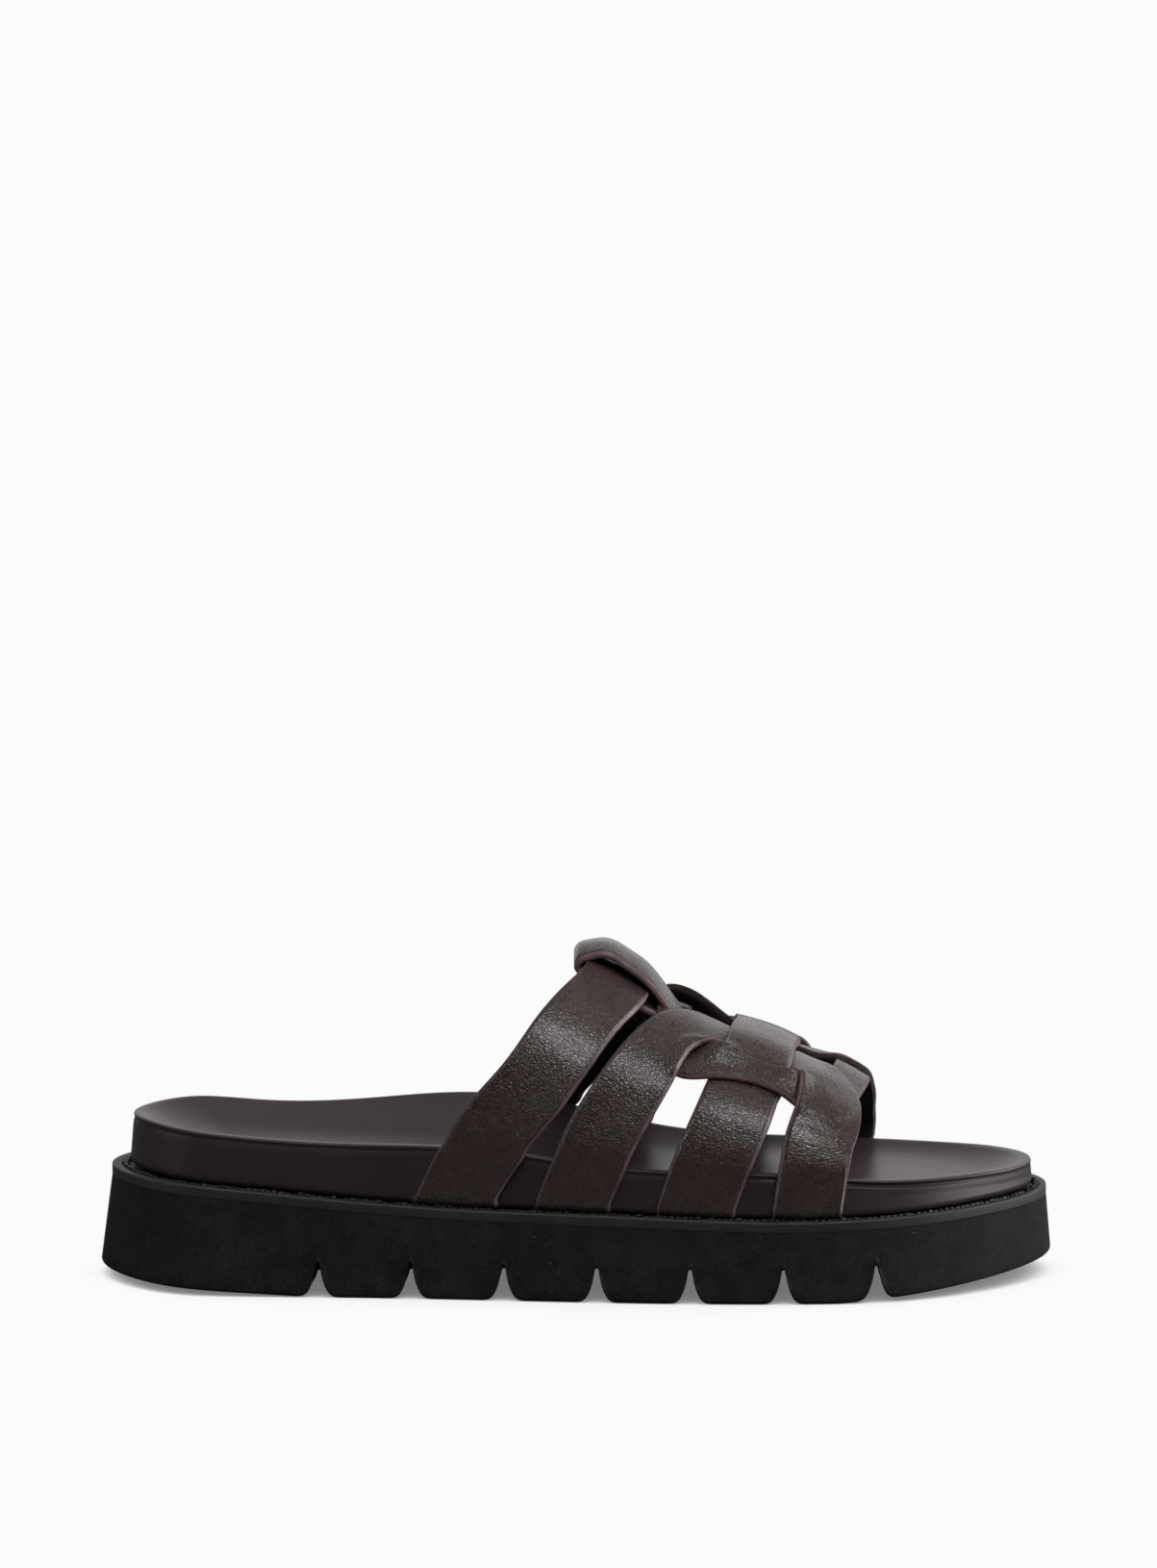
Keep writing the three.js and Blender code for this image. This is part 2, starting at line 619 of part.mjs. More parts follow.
function outsole() {
  const foot = offsetLoop(footbedOutline(OUTLINE_STEPS), (x) => shelf(x) + flare(x));
  const top = (x) => weltTop(x) - WELT_THICKNESS - PIECE_GAP;
  const rings = [
    ringAt(offsetLoop(foot, () => -SOLE_EDGE), underside),
    ringAt(offsetLoop(foot, () => -HALF_ROUND * SOLE_EDGE), (x) => underside(x) + HALF_ROUND * SOLE_EDGE),
    ringAt(foot, (x) => underside(x) + SOLE_EDGE),
    ringAt(offsetLoop(foot, (x) => -flare(x)), top),
  ];
  const blank = plate(rings, { columns: [0.5], height: underside }, { columns: [0.5], height: top });
  const grooves = Array.from({ length: GROOVE_COUNT }, (_, i) => groove(GROOVE_FIRST + i * GROOVE_PITCH));
  return grooves.reduce((sole, cut) => sole.subtract(cut), blank);
}

function welt() {
  const edge = offsetLoop(footbedOutline(OUTLINE_STEPS), shelf);
  const bottom = (x) => weltTop(x) - WELT_THICKNESS;
  const rings = [ringAt(edge, bottom), ringAt(edge, weltTop)];
  return plate(rings, { columns: [0.5], height: bottom }, { columns: [0.5], height: weltTop });
}

// Rim height round the footbed: it turns from the outer to the inner column across the shoe.
function rimHeight(x, y) {
  const turn = smoothStep(RIM_TURN.from, RIM_TURN.to, y);
  return rimOuter(x) + turn * (rimInner(x) - rimOuter(x));
}

function footbed() {
  const wall = footbedOutline(OUTLINE_STEPS);
  const bottom = (x) => weltTop(x) + PIECE_GAP;
  const shortOfRim = HALF_ROUND * RIM_RADIUS;
  const rimLoop = offsetLoop(wall, () => -WALL_LEAN - RIM_RADIUS);
  const rings = [
    ringAt(wall, bottom),
    ringAt(offsetLoop(wall, () => -WALL_LEAN), (x, y) => rimHeight(x, y) - RIM_RADIUS),
    ringAt(offsetLoop(wall, () => -WALL_LEAN - shortOfRim), (x, y) => rimHeight(x, y) - shortOfRim),
    ringAt(rimLoop, rimHeight),
  ];
  // The bed rises from its middle height to the rim by the square of the way outwards.
  const surface = (x, y) => {
    const way = clamp(1 - distanceToLoop(rimLoop, x, y) / bedBand(x), 0, 1);
    return bedMiddle(x) + (rimHeight(x, y) - bedMiddle(x)) * way * way;
  };
  const bedColumns = [0.05, 0.12, 0.22, 0.36, 0.5, 0.64, 0.78, 0.88, 0.95];
  const block = plate(rings, { columns: [0.5], height: bottom }, { columns: bedColumns, height: surface });
  const seats = STRAPS.filter((strap) => strap.seated)
    .map(({ rows, steps, cells }) => strapSolid(rows, steps, cells, PIECE_GAP));
  return seats.reduce((bed, seat) => bed.subtract(seat), block);
}

// ---------------------------------------------------------------- the sandal

const RUBBER_FOAM = new THREE.MeshStandardMaterial({ color: 0x1b1a1b, roughness: 0.92, metalness: 0 });
const WELT_RUBBER = new THREE.MeshStandardMaterial({ color: 0x2e2d2e, roughness: 0.6, metalness: 0 });
const FOOTBED_LINING = new THREE.MeshStandardMaterial({ color: 0x3a3033, roughness: 0.55, metalness: 0 });
const STRAP_LEATHER = new THREE.MeshStandardMaterial({ color: 0x33272a, roughness: 0.45, metalness: 0 });

function pieceMesh(name, solid, material) {
  const mesh = new THREE.Mesh(geometryFrom(solid), material);
  mesh.name = name;
  return mesh;
}

const shoe = new THREE.Group();
shoe.add(pieceMesh('outsole', outsole(), RUBBER_FOAM));
shoe.add(pieceMesh('welt', welt(), WELT_RUBBER));
shoe.add(pieceMesh('footbed', footbed(), FOOTBED_LINING));
shoe.add(pieceMesh('upper', upper(), STRAP_LEATHER));

const box = new THREE.Box3().setFromObject(shoe);
const middle = box.getCenter(new THREE.Vector3());
shoe.position.set(-middle.x, -middle.y, -box.min.z);

const sandal = new THREE.Group();
sandal.add(shoe);

export default sandal;
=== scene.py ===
"""Footbed sandal for the right foot: a slide with a woven strap upper on a lugged foam sole.

Every surface is worked out with numpy in the last's own millimetres, +X from heel to toe,
+Y towards the inner side of the foot, +Z up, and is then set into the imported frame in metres.
"""
import math

import bmesh
import bpy
import numpy as np
from bpy.props import FloatProperty, FloatVectorProperty, IntProperty, PointerProperty
from bpy.types import Operator, Panel, PropertyGroup
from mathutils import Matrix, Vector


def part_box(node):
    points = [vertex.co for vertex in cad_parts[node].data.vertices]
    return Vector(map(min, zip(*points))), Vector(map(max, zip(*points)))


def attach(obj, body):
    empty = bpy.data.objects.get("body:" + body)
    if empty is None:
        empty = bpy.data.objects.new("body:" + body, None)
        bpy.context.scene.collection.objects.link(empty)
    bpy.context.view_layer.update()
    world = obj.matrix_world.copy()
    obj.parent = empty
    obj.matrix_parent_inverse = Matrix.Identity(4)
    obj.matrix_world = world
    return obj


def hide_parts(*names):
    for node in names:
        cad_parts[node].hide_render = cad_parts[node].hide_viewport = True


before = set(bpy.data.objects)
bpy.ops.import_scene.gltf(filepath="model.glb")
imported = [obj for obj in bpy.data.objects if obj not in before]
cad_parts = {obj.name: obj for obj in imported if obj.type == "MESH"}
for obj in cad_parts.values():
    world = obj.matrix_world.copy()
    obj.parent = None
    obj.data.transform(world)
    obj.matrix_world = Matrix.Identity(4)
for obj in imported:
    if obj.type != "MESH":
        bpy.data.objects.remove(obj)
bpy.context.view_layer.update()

bl_info = {
    "name": "Footbed sandal",
    "version": (1, 0, 0),
    "blender": (4, 5, 0),
    "location": "3D View > Sidebar > Sandal",
    "description": "Builds a woven footbed sandal round its packed frame",
    "category": "Object",
}

# -------- the last, in millimetres

FOOTBED_LENGTH = 266.0
FOOTBED_BACK = 9.0
BALL_WIDTH = 90.0
HEEL_HEIGHT = 33.0
INSTEP_HEIGHT = 85.5
CREST_INNER = 4.0
STRAP_THICKNESS = 2.1
WELT_THICKNESS = 3.0
PIECE_GAP = 0.3
STRAP_GAP = 0.45
FUSE = 0.3
FOOT_RADIUS = 0.8
TYPICAL_GIRTH = 90.0
WALL_HANDLE = 0.62
CREST_HANDLE = 0.52
WALL_LEAN = 1.0
RIM_RADIUS = 2.3
# Across the shoe, where the rim goes over from its outer to its inner height; and how far down
# the side, as reach, a strap goes over from square cut to level.
RIM_TURN = (-12.0, 20.0)
LEVEL_CUT = (0.55, 0.8)
# Underside: the heel rises from here backwards, by this much, with this power; the toe rises
# from here on, over this length, by this much, with this power.
HEEL_ROCKER = (64.0, 3.3, 1.05)
TOE_SPRING = (215.0, 65.0, 6.0, 1.2)
GROOVE_COUNT = 7
GROOVE_FIRST = 65.5
GROOVE_PITCH = 26.9
TOE_TIP_INNER = 4.4

# Footbed outline: along in percent of its length, outer and inner in percent of the ball width.
PLAN = np.array([
    (4.9, 27.8, 27.8), (13.5, 34.7, 34.4), (28.6, 38, 34.4), (43.6, 42.9, 36.7), (56.8, 47, 44.4),
    (69.9, 48.9, 51.1), (83.1, 45.6, 50), (92.9, 30, 38.9), (98.3, 12.5, 21.5),
])
# Sole: along, height of the welt's top in percent of the heel height, shelf and flare in mm.
SOLE = np.array([
    (-3.4, 100, 5.5, 3.4), (7.9, 95.5, 5.4, 3.2), (21.1, 86.4, 5.2, 2.9), (36.1, 78.5, 5, 2.6),
    (53, 75.2, 5, 2.4), (73.7, 71.2, 4.8, 2.1), (86.8, 74.5, 4.4, 1.7), (101.9, 78.8, 4.1, 1.4),
])
# Bed: along, outer rim, inner rim and middle in percent of the heel height, band in mm.
BED = np.array([
    (0, 145.5, 145.5, 124, 30), (6, 142, 145, 121, 30), (15.4, 135.5, 139.4, 116, 29),
    (26.7, 132, 142, 114, 28), (36.1, 131, 146.7, 112, 28), (45.5, 123.6, 139.4, 107, 26),
    (55.6, 114.5, 117.5, 97, 22), (63.5, 112.7, 104.7, 92.7, 18), (71.8, 110.6, 99.3, 90, 16),
    (83.1, 104, 96.7, 88, 15), (92.5, 102, 97.4, 88, 15), (100, 101, 101, 90, 15),
])
# Crest of the last: along, height in percent of the instep height.
CREST = np.array([
    (34.2, 126), (39.8, 120.5), (45.5, 113.4), (53.8, 100), (57.9, 93), (62.4, 87.8),
    (67.3, 82.4), (71.1, 78.3), (74.4, 73.3), (78.2, 66.6), (82.3, 59.8), (86.8, 55.2),
])
# One side of a groove in the sole: half its width, height over the underside.
GROOVE = np.array([
    (6.6, 0), (5.9, 0.03), (5.1, 0.12), (4.4, 0.3), (3.8, 0.62), (3.2, 1.1), (2.7, 1.8),
    (2.2, 2.8), (1.75, 3.9), (1.4, 5), (1.1, 6.2), (0.85, 7.4), (0.7, 8.5), (0.58, 9.3),
    (0.42, 9.75), (0.22, 9.92), (0, 9.96),
])

# Straps: along, reach, width, layers below, lead of the inner side. Reach is the percent of
# the way from the crest down to the welt, minus on the outer side.
REAR_STRAP = np.array([
    (36.4, -100, 21.5, 0, 10), (40.2, -83, 22.2, 0, 9.8), (44.6, -69, 21.4, 0, 10.3),
    (48.0, -53, 21.6, 0, 10.4), (50.9, -35, 20.8, 0.2, 8.2), (53.2, -15, 20.8, 1, 3.2),
    (53.7, 0, 21, 1.4, 0),
])
MIDDLE_STRAP = np.array([
    (62.4, -100, 22, 0, 8), (64.1, -84, 22, 0, 8), (65.9, -68, 22, 0, 8),
    (67.2, -53, 21.4, 0, 7), (68.1, -40, 20.4, 0.2, 5), (68.8, -29, 19.8, 1.5, 3.4),
    (69.5, -12, 19.4, 1.5, 1.6), (70.1, 0, 19.4, 1.5, 0),
])
LOOP_STRAP = np.array([
    (49.1, -100, 20.5, 0, 8), (51.9, -81, 20.5, 0, 8), (54.6, -65.8, 20, 0.2, 7),
    (57.3, -48.4, 18.5, 0.9, 6), (59.95, -31.7, 17.4, 1.3, 2), (63.4, -22.3, 20.4, 0.9, -1),
    (65.8, -20.9, 19.6, 0.3, -1), (69.4, -20, 18.8, 0.1, 0), (72.4, -19.6, 19.6, 0.3, 2),
    (74.8, -24.3, 19.8, 1.2, 4), (76.4, -40.5, 19.8, 1.1, 6), (76.2, -57, 20, 0.5, 8.5),
    (75.5, -70, 20, 0.1, 10.5), (75, -85, 20, 0, 12), (74.4, -100, 20, 0, 12),
])
RING_STRAP = np.array([
    (60, -7, 11, 0.15, 0), (60.1, -20, 11, 0, 1), (60.2, -31, 12, 0, 2),
    (60.9, -42, 13.6, 0, 2), (64.8, -42.2, 10.4, 0.6, 2), (68, -42.3, 7.8, 1, 2),
    (71.2, -44, 7.8, 0.8, 3), (73.8, -45, 10.5, 0, 4), (76.3, -43.5, 12, 0, 4.5),
    (77.9, -30, 12, 0, 4), (78.7, -14, 12, 0.7, 2), (79.3, 0, 12, 1.6, 0),
])
# Centre loop from the side: along, height of its mid thickness over the crest in mm.
CENTRE_LOOP = np.array([
    (60.7, 1.2), (59.7, 3.9), (58.4, 7.4), (56.8, 10.2), (54.9, 10.9), (53.2, 10.8), (51.9, 9.2),
    (50.8, 7.1), (49.8, 4.8), (49.5, 2.9), (50.2, 1.4), (51.6, 1.05), (55, 1.05), (60, 1.05),
])
CENTRE_LOOP_WIDTH = 22.0
# Its crown: radius, radius at the rear fold, and that fold's place along and spread.
CENTRE_LOOP_CROWN = (16.5, 22.0, 52.0, 6.0)

MM = 0.001
# Large searches go through their arrays in this many blocks.
BLOCKS = 12


# -------- curves

def x_of(along):
    """Millimetres from the sole's heel, for percent of the footbed's length."""
    return FOOTBED_BACK + np.asarray(along, float) / 100.0 * FOOTBED_LENGTH


def between(value, low, high):
    """Where the value lies between two limits."""
    return (value > low) & (value < high)


def smooth_step(start, stop, value):
    """0 before start, 1 after stop, and 3t^2 - 2t^3 between them."""
    t = np.clip((np.asarray(value, float) - start) / (stop - start), 0.0, 1.0)
    return t * t * (3.0 - 2.0 * t)


def spline(positions, values):
    """Natural cubic spline: piecewise cubics whose second slopes agree and end at zero."""
    p, v = np.asarray(positions, float), np.asarray(values, float)
    h, n = np.diff(p), len(p)
    system, right = np.eye(n), np.zeros(n)
    i = np.arange(1, n - 1)
    system[i, i - 1], system[i, i], system[i, i + 1] = h[:-1], 2 * (h[:-1] + h[1:]), h[1:]
    slope = np.diff(v) / h
    right[1:-1] = 6 * np.diff(slope)
    bend = np.linalg.solve(system, right)

    def at(position):
        """The cubic of the position's own stretch."""
        position = np.asarray(position, float)
        k = np.clip(np.searchsorted(p, position) - 1, 0, n - 2)
        step = h[k]
        a = (p[k + 1] - position) / step
        b = 1 - a
        curve = ((a**3 - a) * bend[k] + (b**3 - b) * bend[k + 1]) * step**2 / 6
        return a * v[k] + b * v[k + 1] + curve

    return at


def column(table, place, scale=1.0):
    """A column of a table as a smooth function of x, level beyond the table's ends."""
    x = x_of(table[:, 0])
    curve = spline(x, table[:, place] * scale)
    return lambda position: curve(np.clip(position, x[0], x[-1]))


def smooth_loop(points, steps):
    """Closed cubic B-spline through the points, its controls from a cyclic set of equations."""
    count = len(points)
    ring = np.eye(count)
    system = (4 * ring + np.roll(ring, 1, 0) + np.roll(ring, -1, 0)) / 6
    controls = np.linalg.solve(system, points)
    t = np.arange(steps) / steps * count
    i = t.astype(int)
    u = (t - i)[:, None]
    c = [controls[(i + k) % count] for k in (-1, 0, 1, 2)]
    return ((1 - u) ** 3 * c[0] + (3 * u**3 - 6 * u**2 + 4) * c[1]
            + (-3 * u**3 + 3 * u**2 + 3 * u + 1) * c[2] + u**3 * c[3]) / 6


def offset_loop(loop, distance):
    """A closed outline moved outwards along its own normals."""
    tangent = np.roll(loop, -1, 0) - np.roll(loop, 1, 0)
    tangent /= np.linalg.norm(tangent, axis=1)[:, None]
    outwards = np.stack([tangent[:, 1], -tangent[:, 0]], 1)
    reach = distance(loop[:, 0]) if callable(distance) else distance
    return loop + outwards * np.broadcast_to(reach, len(loop))[:, None]


def blur(field, times, axis=0):
    """A field smoothed along one axis by a running 1-2-1 average, its ends held."""
    for _ in range(times):
        padded = np.concatenate([field.take([0], axis), field, field.take([-1], axis)], axis)
        n = field.shape[axis]
        low, mid, high = (padded.take(np.arange(k, k + n), axis) for k in (0, 1, 2))
        field = (low + 2 * mid + high) / 4
    return field


welt_top = column(SOLE, 1, HEEL_HEIGHT / 100)
shelf = column(SOLE, 2)
flare = column(SOLE, 3)
rim_outer = column(BED, 1, HEEL_HEIGHT / 100)
rim_inner = column(BED, 2, HEEL_HEIGHT / 100)
bed_middle = column(BED, 3, HEEL_HEIGHT / 100)
bed_band = column(BED, 4)
crest = column(CREST, 1, INSTEP_HEIGHT / 100)


def footbed_outline(steps):
    """The footbed seen from above: heel point, outer side, toe point, inner side."""
    x, width = x_of(PLAN[:, 0]), BALL_WIDTH / 100
    outer = np.stack([x, -PLAN[:, 1] * width], 1)
    inner = np.stack([x, PLAN[:, 2] * width], 1)[::-1]
    heel, toe = [[x_of(0), 0.0]], [[x_of(100), TOE_TIP_INNER * width]]
    return smooth_loop(np.concatenate([heel, outer, toe, inner]), steps)


class Sides:
    """A closed outline as two functions of x, its outer side and its inner side."""

    def __init__(self, loop):
        first, last = int(loop[:, 0].argmin()), int(loop[:, 0].argmax())
        loop = np.roll(loop, -first, 0)
        last = (last - first) % len(loop)
        outer, inner = loop[:last + 1], np.concatenate([loop[last:], loop[:1]])[::-1]
        self.low, self.high = loop[0, 0], loop[last, 0]
        self.outer = lambda x: np.interp(x, outer[:, 0], outer[:, 1])
        self.inner = lambda x: np.interp(x, inner[:, 0], inner[:, 1])


# Points round the outline where it is looked up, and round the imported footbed's own outline.
FINE_STEPS, PACKED_STEPS = 1600, 96
FINE_OUTLINE = footbed_outline(FINE_STEPS)
footbed_sides = Sides(FINE_OUTLINE)


def last_point(x, reach):
    """The last's section at x, on one side: down from the crest by a Bezier curve to the
    footbed's rim, straight down its wall, and by a quarter arc in below the footbed."""
    x, reach = np.broadcast_arrays(np.asarray(x, float), np.asarray(reach, float))
    side = np.where(reach < 0, -1.0, 1.0)
    half = np.where(side < 0, -footbed_sides.outer(x), footbed_sides.inner(x))
    wall_y = side * (half + STRAP_GAP)
    rim = np.where(side < 0, rim_outer(x), rim_inner(x))
    foot = welt_top(x) + PIECE_GAP + STRAP_THICKNESS + FOOT_RADIUS
    top = crest(x)
    rise, span = top - rim, wall_y - CREST_INNER
    arch = 0.5 * (np.abs(span) + rise + np.hypot(span, rise))
    way = np.minimum(1.0, np.abs(reach)) * (arch + rim - foot)
    t = np.minimum(1.0, way / arch)
    y = CREST_INNER + span * (3 * t * (1 - t) ** 2 * CREST_HANDLE + 3 * t**2 * (1 - t) + t**3)
    z = top - rise * (3 * t**2 * (1 - t) * (1 - WALL_HANDLE) + t**3) - np.maximum(0, way - arch)
    tail = np.maximum(0.0, np.abs(reach) - 1.0) * 100
    turn = np.minimum(tail / FOOT_RADIUS, math.pi / 2)
    inwards = FOOT_RADIUS * (1 - np.cos(turn))
    inwards = inwards + np.maximum(0.0, tail - FOOT_RADIUS * math.pi / 2)
    return np.stack([x, y - side * inwards, z - FOOT_RADIUS * np.sin(turn)], -1)


def run_of(gaps):
    """Length run up to each point of a line, from the gaps between them."""
    return np.concatenate([[0], np.cumsum(gaps)])


def gaps_of(points):
    """Distances between neighbouring points of a line."""
    return np.linalg.norm(np.diff(points, axis=0), axis=1)


def unit(vectors):
    """The vectors at length one."""
    return vectors / np.maximum(np.linalg.norm(vectors, axis=-1, keepdims=True), 1e-12)


def last_frame(x, reach, half_step=0.5, reach_step=0.002):
    """Place, slopes along x and along reach, and outward normal, by central differences."""
    along_x = last_point(x + half_step, reach) - last_point(x - half_step, reach)
    along_x = along_x / (2 * half_step)
    along_reach = last_point(x, reach + reach_step) - last_point(x, reach - reach_step)
    along_reach = along_reach / (2 * reach_step)
    return last_point(x, reach), along_x, along_reach, unit(np.cross(along_x, along_reach))


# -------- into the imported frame

def frame_shift():
    """From the last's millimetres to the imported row, in millimetres, off the footbed's box."""
    low = np.array(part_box("footbed")[0], float) / MM
    side = footbed_outline(PACKED_STEPS)[:, 1].min()
    return np.array([low[0] - FOOTBED_BACK, low[1] - side, 0.0])


SHIFT = frame_shift()


def packed(points):
    """The last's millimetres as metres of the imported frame."""
    return (points + SHIFT) * MM


# -------- meshes

def new_piece(name, points, faces, materials, face_finish=None, sharp=None, corner_uv=None,
              fields=None, nodes=()):
    """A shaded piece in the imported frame: points in the last's millimetres, quads and
    triangles as index rows, with faces turned outwards once the mesh is closed."""
    mesh = bpy.data.meshes.new(name)
    mesh.from_pydata(packed(points), [], [face for group in faces for face in group.tolist()])
    if face_finish is not None:
        mesh.polygons.foreach_set("material_index", np.asarray(face_finish, np.int32))
    if corner_uv is not None:
        layer = mesh.uv_layers.new(name="surface")
        layer.data.foreach_set("uv", np.asarray(corner_uv, np.float32).ravel())
    for label, values in (fields or {}).items():
        attribute = mesh.attributes.new(label, "FLOAT", "POINT")
        attribute.data.foreach_set("value", np.asarray(values, np.float32).ravel())
    work = bmesh.new()
    work.from_mesh(mesh)
    bmesh.ops.recalc_face_normals(work, faces=work.faces)
    work.to_mesh(mesh)
    work.free()
    mesh.polygons.foreach_set("use_smooth", np.ones(len(mesh.polygons), bool))
    if sharp is not None:
        mesh.set_sharp_from_angle(angle=math.radians(sharp))
    for material in materials:
        mesh.materials.append(material)
    mesh.update()
    piece = bpy.data.objects.new(name, mesh)
    bpy.context.scene.collection.objects.link(piece)
    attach(piece, "root")
    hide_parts(*nodes)


def ring_quads(rings, count):
    """Quads between neighbouring closed rings of equal count."""
    r, i = np.meshgrid(np.arange(rings - 1), np.arange(count), indexing="ij")
    a = r * count + i
    b = r * count + (i + 1) % count
    return np.stack([a, b, b + count, a + count], -1).reshape(-1, 4)


def across_faces(base, count):
    """Closes a ring that starts at the heel and meets the toe half way: quads straight across
    from its outer side to its inner side, and a triangle at each tip."""
    half = count // 2
    i = np.arange(1, half - 1)
    quads = np.stack([base + i, base + i + 1, base + count - i - 1, base + count - i], 1)
    tips = np.array([[base, base + 1, base + count - 1],
                     [base + half - 1, base + half, base + half + 1]])
    return quads, tips


def plate(rings):
    """Points and faces of a plate whose side and face run through the given rings."""
    count = rings.shape[1]
    faces = [ring_quads(len(rings), count)]
    for base in (0, (len(rings) - 1) * count):
        faces += across_faces(base, count)
    return rings.reshape(-1, 3), faces


# -------- finishes

class Nodes:
    """A node tree in the making: nodes are added from left to right and linked as they come."""

    def __init__(self, tree):
        self.tree, self.column = tree, -1800

    def add(self, kind, inputs=None, **settings):
        """A new node with its inputs linked or set, and its settings."""
        made = self.tree.nodes.new(kind)
        made.location = (self.column, 0)
        self.column += 40
        for key, value in settings.items():
            setattr(made, key, value)
        for key, value in (inputs or {}).items():
            self.join(made.inputs[key], value)
        return made

    def join(self, socket, value):
        """Links another node's socket, or sets a value."""
        if isinstance(value, bpy.types.NodeSocket):
            self.tree.links.new(value, socket)
        else:
            socket.default_value = value

    def span(self, value, low, high, to_low=0.0, to_high=1.0):
        """A smooth step from one level at low to another at high."""
        return self.add("ShaderNodeMapRange", {
            "Value": value, "From Min": low, "From Max": high, "To Min": to_low,
            "To Max": to_high}, interpolation_type="SMOOTHSTEP").outputs["Result"]

    def math(self, operation, *values):
        """Two or three numbers worked into one."""
        return self.add("ShaderNodeMath", dict(enumerate(values)), operation=operation).outputs[0]

    def vector(self, operation, inputs, output=0):
        """Vectors worked into one, or into a number."""
        return self.add("ShaderNodeVectorMath", inputs, operation=operation).outputs[output]


class Finish(Nodes):
    """A material in the making: one shader, with nodes added and linked in front of it."""

    def __init__(self, name, **shader):
        self.material = bpy.data.materials.new(name)
        self.material.use_nodes = True
        super().__init__(self.material.node_tree)
        self.shader = self.tree.nodes["Principled BSDF"]
        for socket, value in shader.items():
            self.shader.inputs[socket.replace("_", " ")].default_value = value

    def place(self):
        """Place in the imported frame, in metres."""
        return self.add("ShaderNodeTexCoord").outputs["Object"]

    def surface(self):
        """Place across and along a strap, in centimetres."""
        return self.add("ShaderNodeUVMap", uv_map="surface").outputs["UV"]

    def field(self, label):
        """A number carried by the mesh's points."""
        return self.add("ShaderNodeAttribute", attribute_name=label).outputs["Fac"]

    def stretch(self, vector, scale, location=(0, 0, 0)):
        """A vector scaled on each axis and moved."""
        return self.add("ShaderNodeMapping", {"Vector": vector, "Scale": scale,
                                              "Location": location}).outputs["Vector"]

    def noise(self, vector, scale, detail=2.0, roughness=0.5):
        """Soft noise round one half."""
        return self.add("ShaderNodeTexNoise", {
            "Vector": vector, "Scale": scale, "Detail": detail,
            "Roughness": roughness}).outputs["Fac"]

    def cells(self, vector, scale, feature="DISTANCE_TO_EDGE"):
        """Voronoi cells: distance to their edges, or to their middles for another feature."""
        return self.add("ShaderNodeTexVoronoi", {"Vector": vector, "Scale": scale},
                        feature=feature).outputs["Distance"]

    def mix(self, share, a, b):
        """A number between a and b, by the share."""
        return self.add("ShaderNodeMix", {0: share, 2: a, 3: b}, data_type="FLOAT").outputs[0]

    def blend(self, share, a, b):
        """A colour between a and b, by the share."""
        return self.add("ShaderNodeMix", {0: share, 6: a, 7: b}, data_type="RGBA").outputs[2]

    def tint(self, value, low, high, colour, dark, light):
        """The colour, from darkened to lightened as the value goes from low to high."""
        return self.blend(self.span(value, low, high), shade(colour, dark), shade(colour, light))

    def sum(self, *terms):
        """Weighted sum of (value, weight) pairs."""
        total = None
        for value, weight in terms:
            total = (self.math("MULTIPLY", value, weight) if total is None
                     else self.math("MULTIPLY_ADD", value, weight, total))
        return total

    def wobble(self, vector, scale, amount):
        """The vector pushed about by a coloured noise, so that cells lose their regular shape."""
        push = self.add("ShaderNodeTexNoise", {"Vector": vector, "Scale": scale, "Detail": 2.0})
        centred = self.vector("SUBTRACT", {0: push.outputs["Color"], 1: (0.5, 0.5, 0.5)})
        scaled = self.vector("SCALE", {0: centred, "Scale": amount})
        return self.vector("ADD", {0: vector, 1: scaled})

    def bump(self, height, strength, distance, normal=None):
        """The normal tilted by a height, on top of another one if it is given."""
        inputs = {"Strength": strength, "Distance": distance, "Height": height}
        if normal is not None:
            inputs["Normal"] = normal
        return self.add("ShaderNodeBump", inputs).outputs["Normal"]

    def done(self, colour, roughness=None, normal=None):
        """The material, with its colour and what else is given joined to the shader."""
        for key, value in (("Base Color", colour), ("Roughness", roughness), ("Normal", normal)):
            if value is not None:
                self.join(self.shader.inputs[key], value)
        return self.material


def shade(colour, factor):
    """A colour made lighter or darker, as four channels."""
    return (*(min(1.0, channel * factor) for channel in colour[:3]), 1.0)


